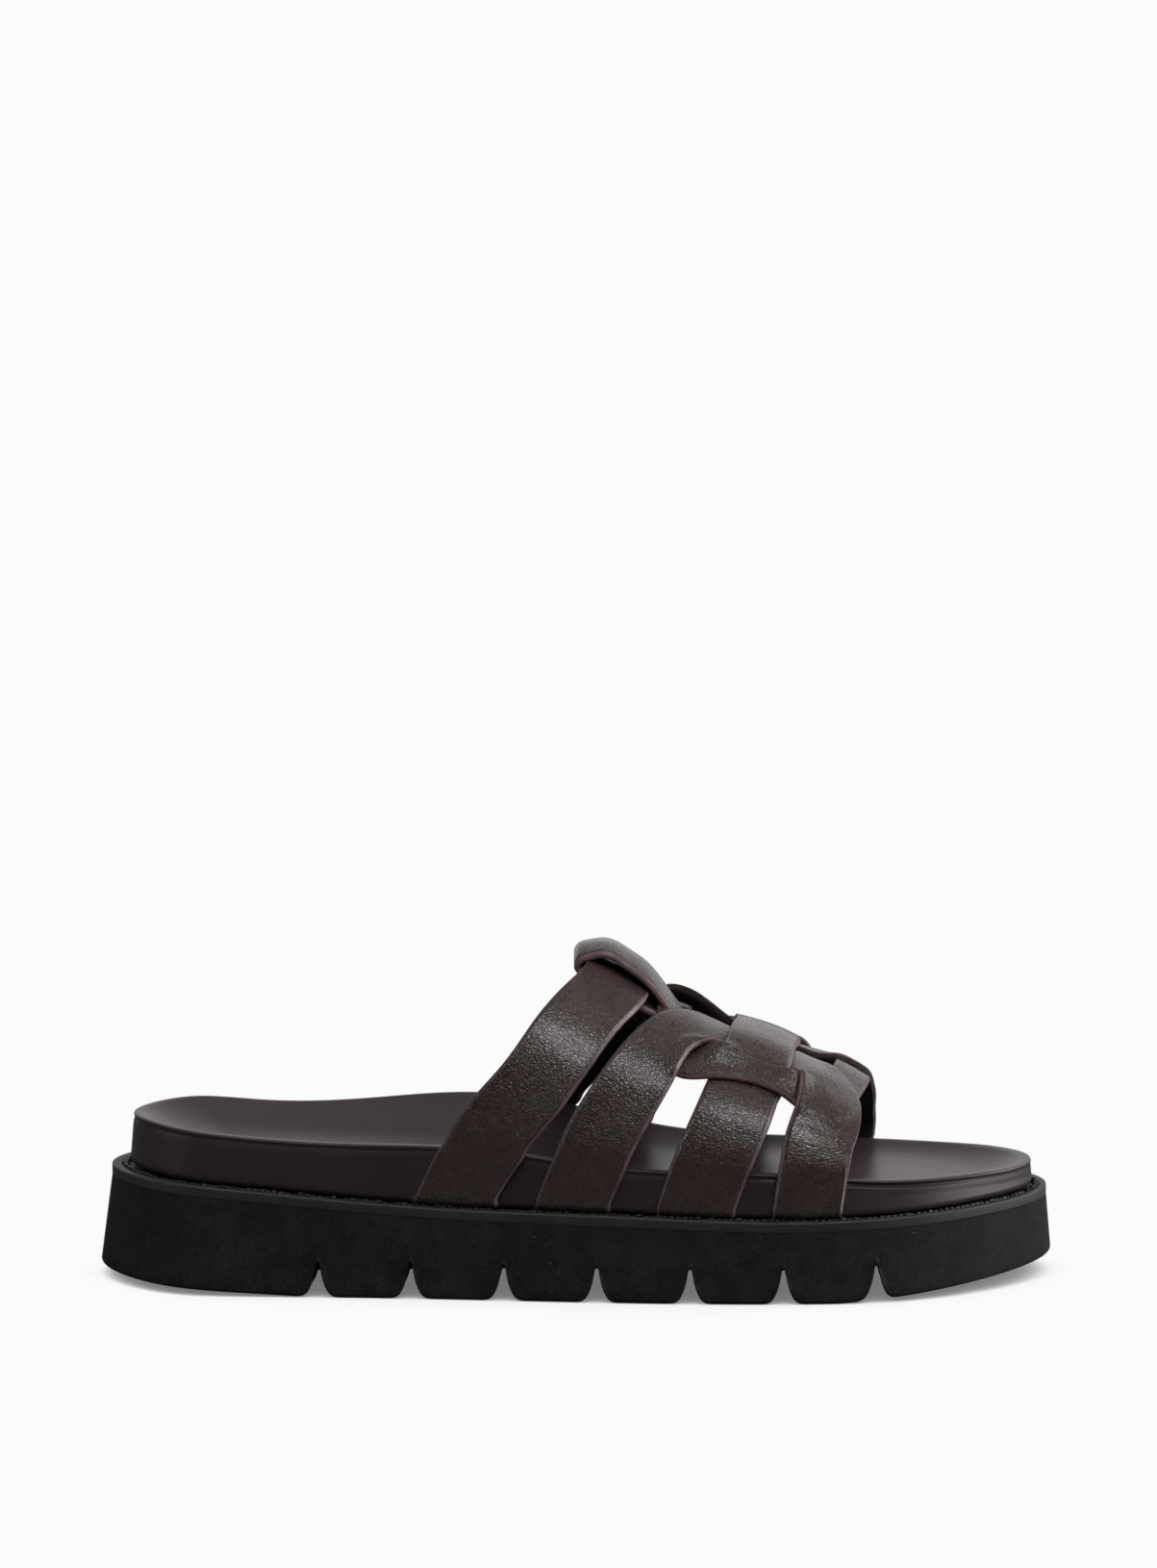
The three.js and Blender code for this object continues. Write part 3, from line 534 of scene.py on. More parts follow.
def strap_leather(colours, name="strap_leather", bloom=0.0):
    """Pebbled leather: domed cells about three quarters of a millimetre across between fine
    dark grooves, drawn out across the strap where it is worked. Low on the strap it is
    smoother, and where it is handled most it has a dry bloom."""
    f = Finish(name, Specular_IOR_Level=0.58, Coat_Weight=0.1, Coat_Roughness=0.12,
               Sheen_Weight=bloom, Sheen_Roughness=0.4)
    uv = f.surface()
    slack, worked = f.field("slack"), f.field("worked")
    bent = f.wobble(f.wobble(uv, 2.5, 0.10), 16.0, 0.022)
    wide = f.stretch(bent, (0.85, 1.1, 1.0))
    long = f.stretch(bent, (0.5, 1.45, 1.0), (3.1, 1.7, 0))
    dome = f.mix(worked, f.cells(wide, 13.0, "SMOOTH_F1"), f.cells(long, 13.0, "SMOOTH_F1"))
    groove = f.mix(worked, f.cells(wide, 13.0), f.cells(long, 13.0))
    groove = f.span(groove, 0.0, 0.16)
    pores = f.noise(uv, 75.0, 2.0, 0.6)
    height = f.sum((dome, -0.75), (groove, 0.3), (pores, 0.12))
    soft = f.noise(f.stretch(bent, (0.8, 1.2, 1.0)), 3.2, 3.0, 0.5)
    normal = f.bump(soft, 0.5, 0.0003)
    normal = f.bump(f.math("MULTIPLY", height, slack), 0.9, 0.00019, normal)
    tone = f.sum((f.noise(uv, 1.1, 3.0, 0.6), 0.55), (groove, 0.42), (pores, 0.15))
    colour = f.tint(tone, 0.2, 0.95, colours.leather, 0.42, 1.35)
    gloss = f.sum((f.noise(uv, 7.0, 2.0), 0.12), (groove, -0.08))
    return f.done(colour, f.math("ADD", gloss, 0.17), normal)


def strap_edge(colours):
    """Edge paint: satin and a little uneven, lighter and pinker than the leather."""
    f = Finish("painted_edge", Specular_IOR_Level=0.5, Coat_Weight=0.15, Coat_Roughness=0.25)
    place = f.place()
    beads = f.noise(place, 900.0, 3.0, 0.6)
    streaks = f.noise(place, 160.0, 3.0, 0.6)
    colour = f.tint(streaks, 0.3, 0.72, colours.edge, 0.68, 1.3)
    normal = f.bump(f.sum((beads, 0.5), (streaks, 0.7)), 0.3, 0.00025)
    return f.done(colour, f.span(beads, 0.2, 0.8, 0.34, 0.52), normal)


def cut_edge(colours):
    """The thin cut of a strap's far side: burnished leather, a little glossier than the grain."""
    f = Finish("cut_edge", Specular_IOR_Level=0.5, Coat_Weight=0.2, Coat_Roughness=0.2)
    fibre = f.noise(f.place(), 700.0, 3.0, 0.6)
    colour = f.tint(fibre, 0.3, 0.7, colours.leather, 0.8, 1.5)
    return f.done(colour, f.span(fibre, 0.2, 0.8, 0.3, 0.45), f.bump(fibre, 0.3, 0.0002))


def strap_back(colours):
    """Flesh side of the leather: matt, with short fibres."""
    f = Finish("strap_back", Specular_IOR_Level=0.25, Sheen_Weight=0.12, Sheen_Roughness=0.5)
    place = f.place()
    fibre = f.noise(place, 1400.0, 4.0, 0.65)
    mottle = f.noise(place, 120.0, 3.0)
    tone = f.sum((fibre, 0.5), (mottle, 0.5))
    colour = f.tint(tone, 0.3, 0.7, colours.back, 0.65, 1.3)
    return f.done(colour, 0.85, f.bump(fibre, 0.5, 0.0003))


def lining(name, colour, gloss, shine):
    """Smooth lining leather drawn over the footbed: satin, with faint pores and mottling. The
    gloss is its least roughness."""
    f = Finish(name, Specular_IOR_Level=shine, Coat_Weight=0.05, Coat_Roughness=0.35)
    place = f.place()
    pores = f.cells(f.wobble(place, 300.0, 0.0006), 1500.0, "F1")
    mottle = f.noise(place, 22.0, 4.0, 0.6)
    drawn = f.noise(f.stretch(place, (0.6, 0.6, 3.0)), 90.0, 3.0, 0.6)
    tint = f.tint(mottle, 0.25, 0.75, colour, 0.84, 1.16)
    normal = f.bump(f.sum((drawn, 0.6), (mottle, 0.6)), 0.12, 0.0008)
    normal = f.bump(f.span(pores, 0.0, 0.6), 0.16, 0.00008, normal)
    rough = f.math("ADD", f.sum((mottle, 0.1), (drawn, 0.06)), gloss)
    return f.done(tint, rough, normal)


def welt_rubber(colours):
    """Smooth rubber strip: satin grey, with faint drag lines along it. A painted highlight
    lightens its top and outer edge.
    """
    f = Finish("welt_rubber", Specular_IOR_Level=0.45)
    place = f.place()
    cloud = f.noise(place, 45.0, 4.0, 0.6)
    grit = f.noise(place, 1200.0, 3.0, 0.6)
    drag = f.noise(f.stretch(place, (0.12, 0.12, 1.0)), 900.0, 2.0)
    painted_highlight = f.field("painted_highlight")
    # Painted highlight: the welt's top and outer edge are lightened in colour, as where light
    # falls.
    tone = f.sum((cloud, 0.6), (grit, 0.3), (painted_highlight, 0.5))
    colour = f.tint(tone, 0.25, 1.0, colours.welt, 0.75, 1.6)
    normal = f.bump(f.sum((grit, 0.6), (drag, 0.5)), 0.18, 0.00012)
    return f.done(colour, f.span(cloud, 0.2, 0.8, 0.46, 0.62), normal)


def sole_foam(colours):
    """Foam rubber: black and matt, mottled like felt by its cut pores, with a few fine pale
    fibres lying in it."""
    f = Finish("sole_foam", Specular_IOR_Level=0.25)
    place = f.place()
    felt = f.noise(f.wobble(place, 400.0, 0.001), 1300.0, 4.0, 0.75)
    cloud = f.noise(place, 38.0, 4.0, 0.6)
    patch = f.noise(place, 150.0, 3.0, 0.6)
    tone = f.sum((felt, 0.95), (cloud, 0.2), (patch, 0.3))
    colour = f.tint(tone, 0.52, 0.98, colours.sole, 0.45, 2.1)
    bent = f.wobble(place, 260.0, 0.003)
    strand = f.cells(f.stretch(bent, (1.0, 1.0, 0.22)), 700.0, "F1")
    strand = f.span(strand, 0.11, 0.04)
    other = f.cells(f.stretch(bent, (0.2, 0.2, 1.0), (0.4, 0.1, 0.7)), 560.0, "F1")
    strand = f.math("MAXIMUM", strand, f.span(other, 0.1, 0.04))
    thin = f.span(f.noise(place, 90.0, 2.0), 0.52, 0.62)
    fibre = f.math("MULTIPLY", f.math("MULTIPLY", strand, thin), 0.5)
    colour = f.blend(fibre, colour, shade(colours.speck, 1.0))
    normal = f.bump(f.sum((cloud, 0.6), (patch, 0.4)), 0.25, 0.0009)
    normal = f.bump(felt, 0.6, 0.00045, normal)
    return f.done(colour, f.span(felt, 0.3, 0.7, 0.72, 0.95), normal)


def waxed_thread(colours):
    """Waxed thread: nearly black plies with small bright glints."""
    f = Finish("waxed_thread", Specular_IOR_Level=0.6, Coat_Weight=0.12, Coat_Roughness=0.15)
    plies = f.noise(f.stretch(f.place(), (1.0, 1.0, 2.5)), 1500.0, 3.0, 0.7)
    colour = f.tint(plies, 0.3, 0.7, colours.thread, 0.5, 2.2)
    return f.done(colour, f.span(plies, 0.2, 0.8, 0.22, 0.6), f.bump(plies, 0.9, 0.0004))


# -------- sole, welt and footbed

def underside(x):
    """Height of the tread over the floor: a power curve up at the heel and one at the toe."""
    heel_from, heel_rise, heel_power = HEEL_ROCKER
    toe_from, toe_length, toe_rise, toe_power = TOE_SPRING
    heel = np.clip((heel_from - x) / heel_from, 0, 1)
    toe = np.clip((x - toe_from) / toe_length, 0, 1)
    return heel_rise * heel**heel_power + toe_rise * toe**toe_power


# Under the middle of the foot the grooves are shallower: where along the footbed, in percent,
# they have which share of their depth at the sides.
SHALLOW_AT, SHALLOW_SHARES = (20, 75), (0.52, 0.9)
GROOVE_PLACES = GROOVE_FIRST + GROOVE_PITCH * np.arange(GROOVE_COUNT)
# Rings of the sole. Tread: millimetres in from its edge, and how much of the shallow middle it
# has. Lower edge: degrees of its turn. Wall: shares of its height.
TREAD_RINGS = ((22, 1.0), (15, 1.0), (9, 0.0))
EDGE_TURNS = (0, 18, 36, 54, 72, 90)
WALL_SHARES = (0.12, 0.27, 0.42, 0.57, 0.72, 0.86, 0.95, 1.0)
# Even stations along the sole, how far they keep off a groove, the length of the tips, where
# rings are drawn in, and the hair's breadth between sole and welt.
SOLE_STATIONS = 230
GROOVE_CLEARANCE = 0.5
TIP_LENGTH = 30
WELT_SEAM = 0.02


def groove_height(x):
    """Height of the nearest groove's roof over the tread, from its half profile."""
    away = np.abs(x[..., None] - GROOVE_PLACES).min(-1)
    return np.interp(away, GROOVE[::-1, 0], GROOVE[::-1, 1])


def sole_stations(sides):
    """x of the stations along the sole: even round its ends, close together at the grooves."""
    turn = np.linspace(0, math.pi, SOLE_STATIONS)
    x = sides.low + (sides.high - sides.low) * (1 - np.cos(turn)) / 2
    clear = np.abs(x[:, None] - GROOVE_PLACES).min(1) > GROOVE[0, 0] + GROOVE_CLEARANCE
    steps = np.concatenate([GROOVE[:, 0], -GROOVE[:-1, 0]])
    close = (GROOVE_PLACES[:, None] + steps).ravel()
    return np.unique(np.concatenate([x[clear], close]))


def ring_of(x, base, sides, height):
    """A closed ring over stations x of the base outline. Near its tips the stations are drawn
    in to the ring's own length by a square law, so that grooves stay straight across."""
    near = np.clip(1 - (x - base.low) / TIP_LENGTH, 0, 1) ** 2
    far = np.clip(1 - (base.high - x) / TIP_LENGTH, 0, 1) ** 2
    moved = x + (sides.low - base.low) * near + (sides.high - base.high) * far
    outer = np.stack([moved, sides.outer(moved), height(moved)], 1)
    inner = np.stack([moved, sides.inner(moved), height(moved)], 1)
    return np.concatenate([outer, inner[-2:0:-1]])


def outsole_rings(edge):
    """Tread, rounded lower edge, leaning side wall and top of the sole as rings."""
    foot_loop = offset_loop(FINE_OUTLINE, lambda x: shelf(x) + flare(x))
    base = Sides(foot_loop)
    x = sole_stations(base)

    def tread(x, middle=0.0):
        """The underside, plus the groove's height times its share this far in."""
        shallow = np.interp(x, x_of(SHALLOW_AT), SHALLOW_SHARES)
        return underside(x) + groove_height(x) * (1 - middle * (1 - shallow))

    def lower_edge(x, lift):
        """The tread, raised along the edge's quarter circle."""
        return tread(x) + lift

    def wall(x, share):
        """From the top of the lower edge straight up to the welt's underside."""
        low = tread(x) + edge
        return low + (welt_top(x) - WELT_THICKNESS - WELT_SEAM - low) * share

    def ring(distance, height, amount):
        """A ring at a distance from the foot's outline, by one of the heights above."""
        return ring_of(x, base, Sides(offset_loop(foot_loop, distance)),
                       lambda x: height(x, amount))

    rings = [ring(-inset, tread, middle) for inset, middle in TREAD_RINGS]
    rings += [ring(-edge * (1 - np.sin(turn)), lower_edge, edge * (1 - np.cos(turn)))
              for turn in np.radians(EDGE_TURNS)]
    wall_from = len(rings)
    rings += [ring(lambda x, share=share: -flare(x) * share, wall, share)
              for share in WALL_SHARES]
    rings = np.stack(rings)
    # Between the tips the wall leans evenly from its foot to its top, also over a groove.
    foot, head = rings[wall_from - 1], rings[-1]
    full = np.maximum(head[:, 2] - underside(foot[:, 0]), 1e-6)
    share = ((rings[wall_from:, :, 2] - underside(rings[wall_from:, :, 0])) / full).clip(0, 1)
    lean = np.abs(head[:, 1] - foot[:, 1]) * -np.sign(foot[:, 1])
    middle = between(foot[:, 0], base.low + TIP_LENGTH + 2, base.high - TIP_LENGTH - 2)
    rings[wall_from:, middle, 1] = (foot[:, 1] + lean * share)[:, middle]
    return rings


def rim_height(x, y):
    """Rim of the footbed: the outer column goes over to the inner one across the shoe."""
    return rim_outer(x) + smooth_step(*RIM_TURN, y) * (rim_inner(x) - rim_outer(x))


def distance_to(loop, x, y):
    """Shortest distance from each point to a closed outline's straight pieces."""
    run = np.roll(loop, -1, 0) - loop
    length = (run**2).sum(1)
    best = np.full(x.shape, np.inf)
    for block in np.array_split(np.arange(len(loop)), BLOCKS):
        a, d = loop[block], run[block]
        t = ((x[..., None] - a[:, 0]) * d[:, 0]
             + (y[..., None] - a[:, 1]) * d[:, 1]) / length[block]
        near = a[None] + t.clip(0, 1)[..., None] * d
        gap = np.hypot(near[..., 0] - x[..., None], near[..., 1] - y[..., None])
        best = np.minimum(best, gap.min(-1))
    return best


# Section of the footbed's side. Low: how far in from the outline, height over its bottom.
# High: how far under its rim, then how far in at the heel and at the ball. At the ball a thin
# bead of lining stands on a recess; towards the heel and the toe tip the rim is rounded.
SIDE_LOW = ((2.0, 0.0), (1.1, 0.05), (0.5, 0.35), (0.15, 0.9), (0.0, 1.7))
SIDE_HIGH = (
    (3.9, 0.78, 0.74), (3.4, 0.82, 0.76), (3.0, 0.88, 0.79), (2.7, 0.94, 0.82),
    (2.45, 1.0, 0.86), (2.25, 1.06, 0.95), (2.1, 1.1, 1.1), (2.0, 1.14, 1.3),
    (1.9, 1.18, 1.56), (1.75, 1.22, 1.78), (1.55, 1.25, 1.88), (1.35, 1.24, 1.86),
    (1.15, 1.19, 1.74), (0.98, 1.12, 1.52), (0.86, 1.06, 1.26), (0.72, 1.02, 1.08),
    (0.55, 1.03, 1.0), (0.38, 1.1, 1.02), (0.22, 1.25, 1.16), (0.09, 1.48, 1.4),
    (0.02, 1.75, 1.75), (0.0, 2.1, 2.15), (-0.02, 2.7, 2.75),
)


# Where along the footbed, in percent, the bead comes in, where it goes again, and where the
# toe's wall stands up straighter, by which share.
BEAD_COMES, BEAD_GOES = (68, 77), (94, 86)
UPRIGHT_RUN, UPRIGHT_SHARE = (90, 98), 0.6
# Rings of the plain wall, and how many rings of the rim already have the bed's finish.
WALL_RINGS = 6
RIM_RINGS = 6
# How far from heel and toe the bed's middle line ends, and the shares of the way in to it at
# which the bed has its rings: closer together at the rim.
MIDDLE_LINE_ENDS = (40, 34)
BED_SHARES = (np.arange(27) / 26) ** 1.15 * 0.975


def footbed_rings(steps):
    """Rings from the footbed's bottom up its wall, over the rolled rim and in over the bed."""
    wall = footbed_outline(steps)
    x = wall[:, 0]
    bottom = welt_top(x) + PIECE_GAP
    rim = rim_height(x, wall[:, 1])
    crisp = smooth_step(*x_of(BEAD_COMES), x) * smooth_step(*x_of(BEAD_GOES), x)
    upright = 1 - UPRIGHT_SHARE * smooth_step(*x_of(UPRIGHT_RUN), x)
    inset = [-(heel + (toe - heel) * crisp) * upright for _, heel, toe in SIDE_HIGH]
    low, high = bottom + SIDE_LOW[-1][1], rim - SIDE_HIGH[0][0]
    side = [(-inwards, bottom + lift) for inwards, lift in SIDE_LOW]
    side += [(inset[0] * share, low + (high - low) * share)
             for share in np.linspace(0, 1, WALL_RINGS + 2)[1:-1]]
    side += [(reach, rim - row[0]) for row, reach in zip(SIDE_HIGH, inset)]
    rings = [np.column_stack([offset_loop(wall, reach), height]) for reach, height in side]
    rim_loop = offset_loop(wall, -WALL_LEAN - RIM_RADIUS)
    centre = np.clip(rim_loop[:, 0], x_of(0) + MIDDLE_LINE_ENDS[0],
                     x_of(100) - MIDDLE_LINE_ENDS[1])
    middle = (footbed_sides.outer(centre) + footbed_sides.inner(centre)) / 2
    spine = np.stack([centre, middle], 1)
    fine_rim = offset_loop(FINE_OUTLINE[::3], -WALL_LEAN - RIM_RADIUS)
    for share in BED_SHARES:
        flat = rim_loop + (spine - rim_loop) * share
        x, y = flat.T
        way = np.clip(1 - distance_to(fine_rim, x, y) / bed_band(x), 0, 1)
        height = bed_middle(x) + (rim_height(x, y) - bed_middle(x)) * way**2
        rings.append(np.column_stack([flat, height]))
    return np.stack(rings), len(side)


# Section of the welt, as (share of the shelf, millimetres beyond that, height over its top),
# and how much painted highlight lightens its top and outer edge, from the seventh row on.
WELT_SECTION = (
    (0.0, -4.0, -1.0), (0.0, -0.5, -1.0), (0.45, -0.35, -1.0), (0.45, -0.1, -0.9),
    (0.45, 0.02, -0.55), (0.45, 0.12, -0.2), (0.45, 0.3, -0.04), (0.45, 0.55, 0.0),
    (0.75, 0.0, 0.01), (1.0, -0.42, 0.0), (1.0, -0.24, -0.03), (1.0, -0.1, -0.11),
    (1.0, -0.02, -0.25), (1.0, 0.0, -0.45), (1.0, 0.02, -1.5), (1.0, 0.02, -2.65),
    (1.0, 0.0, -2.82), (1.0, -0.08, -2.93), (1.0, -0.22, -2.99), (1.0, -2.5, -3.0),
)
PAINTED_HIGHLIGHT_FROM, PAINTED_HIGHLIGHT = 6, np.array([0.3, 0.6, 0.5, 0.8, 1.0, 0.8, 0.3])


def welt_rings(steps):
    """The welt's section carried round the footbed's outline."""
    wall = footbed_outline(steps)
    rings = []
    for share, beyond, height in WELT_SECTION:
        loop = offset_loop(wall, lambda x, s=share, b=beyond: s * shelf(x) + b)
        rings.append(np.column_stack([loop, welt_top(loop[:, 0]) + height]))
    return np.stack(rings)


def along_loop(loop, pitch, look=0.3):
    """Even places along a closed outline, with the direction of travel at each: towards the
    place a look ahead."""
    closed = np.concatenate([loop, loop[:1]])
    run = run_of(gaps_of(closed))
    count = int(round(run[-1] / pitch))
    at = (np.arange(count) + 0.5) * run[-1] / count

    def place(length):
        """The point where this length has been run."""
        return np.stack([np.interp(length, run, values) for values in closed.T], 1)

    return place(at), unit(place((at + look) % run[-1]) - place(at))


# A stitch: its place out on the shelf as a share, how deep it is sunk, its mean turn off the
# groove, how its turn, tilt and height scatter, and the limits of its size; in mm and radians.
STITCH_PLACE, STITCH_SUNK, STITCH_TURN = 0.27, 0.1, 0.3
STITCH_SCATTER = {"turn": 0.22, "tilt": 0.12, "height": 0.13}
STITCH_SIZES = (0.75, 1.25)
# Its twist: depth of the two ridges, their turn along it, and the power of its swell. Its mesh:
# rings, and points round each.
TWIST_DEPTH, TWIST_TURN, TWIST_SWELL = 0.12, 3.0, 0.55
STITCH_RINGS, STITCH_SIDES = 6, 9


def stitch_row(pitch, length, radius, seed):
    """Short twisted stitches in the welt's groove. Each is a capsule whose radius swells in
    the middle and whose surface is ridged by its twist; one array places them all."""
    loop = offset_loop(FINE_OUTLINE, lambda x: STITCH_PLACE * shelf(x))
    path = np.column_stack([loop, welt_top(loop[:, 0]) - STITCH_SUNK])
    centre, ahead = along_loop(path, pitch)
    rng = np.random.default_rng(seed)
    count, rings, sides = len(centre), STITCH_RINGS, STITCH_SIDES
    yaw = rng.normal(0, STITCH_SCATTER["turn"], count) + STITCH_TURN
    tilt = rng.normal(0, STITCH_SCATTER["tilt"], count)
    up = np.broadcast_to([0.0, 0.0, 1.0], ahead.shape)
    side = unit(np.cross(up, ahead))
    run = unit(ahead * np.cos(yaw)[:, None] + side * np.sin(yaw)[:, None] + up * tilt[:, None])
    side = unit(np.cross(up, run))
    top = np.cross(run, side)
    t = np.linspace(0, math.pi, rings + 2)[1:-1]
    turn = np.arange(sides) / sides * 2 * math.pi
    ridge = 1 + TWIST_DEPTH * np.cos(2 * turn[None] + TWIST_TURN * t[:, None])
    swell = np.sin(t) ** TWIST_SWELL
    shape = np.stack([
        np.broadcast_to(-np.cos(t)[:, None] * length / 2, (rings, sides)),
        swell[:, None] * ridge * np.cos(turn) * radius,
        swell[:, None] * ridge * np.sin(turn) * radius], -1).reshape(-1, 3)
    shape = np.concatenate([shape, [[-length / 2, 0, 0], [length / 2, 0, 0]]])
    size = rng.uniform(*STITCH_SIZES, count)
    rise = rng.normal(0.0, STITCH_SCATTER["height"], count)
    points = (centre[:, None] + up[:, None] * rise[:, None, None]
              + shape[None, :, :1] * run[:, None]
              + shape[None, :, 1:2] * side[:, None] * size[:, None, None]
              + shape[None, :, 2:] * top[:, None] * size[:, None, None])
    quads = ring_quads(rings, sides)
    i = np.arange(sides)
    last_ring, tip = (rings - 1) * sides, rings * sides
    near = np.stack([np.full(sides, tip), (i + 1) % sides, i], 1)
    far = np.stack([np.full(sides, tip + 1), last_ring + i, last_ring + (i + 1) % sides], 1)
    base = np.arange(count)[:, None, None] * len(shape)
    return points.reshape(-1, 3), [(quads + base).reshape(-1, 4),
                                   (np.concatenate([near, far]) + base).reshape(-1, 3)]


# -------- straps

def both_sides(rows):
    """Rows of the whole strap: the outer side as given, then the inner side as its mirror."""
    return np.concatenate([mark_side(rows, False), mark_side(rows[-2::-1], True)])


def mark_side(rows, inner):
    """Rows as x, reach, width, layers. The inner side is mirrored and stands ahead by its lead."""
    x = x_of(rows[:, 0]) + (rows[:, 4] if inner else 0)
    reach = rows[:, 1] / 100 * (-1 if inner else 1)
    return np.stack([x, reach, rows[:, 2], rows[:, 3]], 1)


# Folds: share of the strap's length, place across from -1 to 1, slant in degrees
# off square, and length, width and depth in mm.
REAR_FOLDS = (
    (0.115, 0.1, 6, 9, 1.3, 0.08), (0.15, -0.2, -8, 8, 1.0, 0.07), (0.185, 0.3, 10, 7, 1.1, 0.07),
    (0.3, -0.3, 14, 8, 1.2, 0.07), (0.335, 0.2, 8, 9, 1.0, 0.07), (0.36, -0.35, 4, 7, 0.9, 0.07),
    (0.39, 0.35, -6, 8, 0.9, 0.07), (0.42, 0.0, 5, 10, 1.0, 0.06),
)
MIDDLE_FOLDS = (
    (0.12, 0.0, 10, 9, 1.1, 0.06), (0.15, 0.35, -6, 7, 1.0, 0.05), (0.18, -0.3, 12, 8, 1.0, 0.06),
    (0.21, 0.1, 4, 9, 1.1, 0.06), (0.245, 0.4, 10, 7, 0.9, 0.05),
)
LOOP_FOLDS = (
    (0.1, 0.1, 10, 8, 1.1, 0.07), (0.14, -0.3, -8, 7, 1.0, 0.07), (0.2, 0.3, 12, 7, 1.0, 0.06),
    (0.33, -0.5, 24, 6, 1.2, 0.1), (0.37, -0.7, 30, 5, 1.0, 0.11), (0.62, -0.6, -26, 6, 1.1, 0.1),
    (0.66, -0.4, -20, 6, 1.0, 0.08), (0.8, 0.2, -10, 8, 1.0, 0.07), (0.84, -0.3, 8, 7, 1.0, 0.07),
    (0.875, 0.25, -6, 8, 1.1, 0.07), (0.91, -0.1, 6, 8, 1.0, 0.06),
)
RING_FOLDS = (
    (0.1, 0.2, 12, 4, 1.0, 0.06), (0.16, -0.3, -10, 4, 0.9, 0.06), (0.84, -0.3, 10, 4, 0.9, 0.06),
    (0.9, 0.2, -12, 4, 1.0, 0.06),
)


# A strap's two edges, as (millimetres in from the edge, share of the thickness) from the top
# down: a full-round painted bead, by degrees of its turn, and a thin cut that leans in below.
BEAD_TURNS = (78, 60, 40, 20, 0, -20, -40, -60, -78)
BEAD_EDGE = tuple((STRAP_THICKNESS / 2 * (1 - math.cos(t)), 0.5 + 0.5 * math.sin(t))
                  for t in np.radians(BEAD_TURNS))
CUT_EDGE = ((0.42, 1.0), (0.25, 0.985), (0.1, 0.93), (0.02, 0.83), (0.0, 0.66), (0.03, 0.42),
            (0.1, 0.22), (0.22, 0.08), (0.42, 0.0))


def section(half, across, bead):
    """A strap's section as places across, from -1 to 1, and shares of its thickness: flat
    above and below, a bead on the side named by its sign and a thin cut on the other."""
    high, low = (BEAD_EDGE, CUT_EDGE) if bead > 0 else (CUT_EDGE, BEAD_EDGE)
    high, low = np.array(high), np.array(low)[::-1]
    start, stop = -half + low[0, 0], half - high[0, 0]
    share = np.linspace(0, 1, across)
    flat = start[:, None] + (stop - start)[:, None] * share
    right = half[:, None] - high[:, 0]
    left = -half[:, None] + low[:, 0]
    places = np.concatenate([flat, right, flat[:, ::-1], left], 1) / half[:, None]
    shares = np.concatenate([np.ones(across), high[:, 1], np.zeros(across), low[:, 1]])
    return places, shares


# A strap laid on the last: columns across it, the reach from which an end counts as seated at
# the welt, its stations round the turn there, and how far on it has its last two, as reach.
LAY_COLUMNS = 31
SEATED = 0.99
TURN_STATIONS = 8
TAIL_REACH = (0.012, 0.024)
# Its surface is smoothed along it this many times, fading in over this reach.
SMOOTHED, SMOOTHING = (0.93, 0.84), 8
# Drawn tight low down, it shows less of its grain: how much at the least, and from which
# height over the footbed's rim to which.
LEAST_SLACK, SLACK_HEIGHTS = 0.35, (-3.0, 7.0)
# Millimetres to one unit of the surface map.
SURFACE_UNIT = 10.0


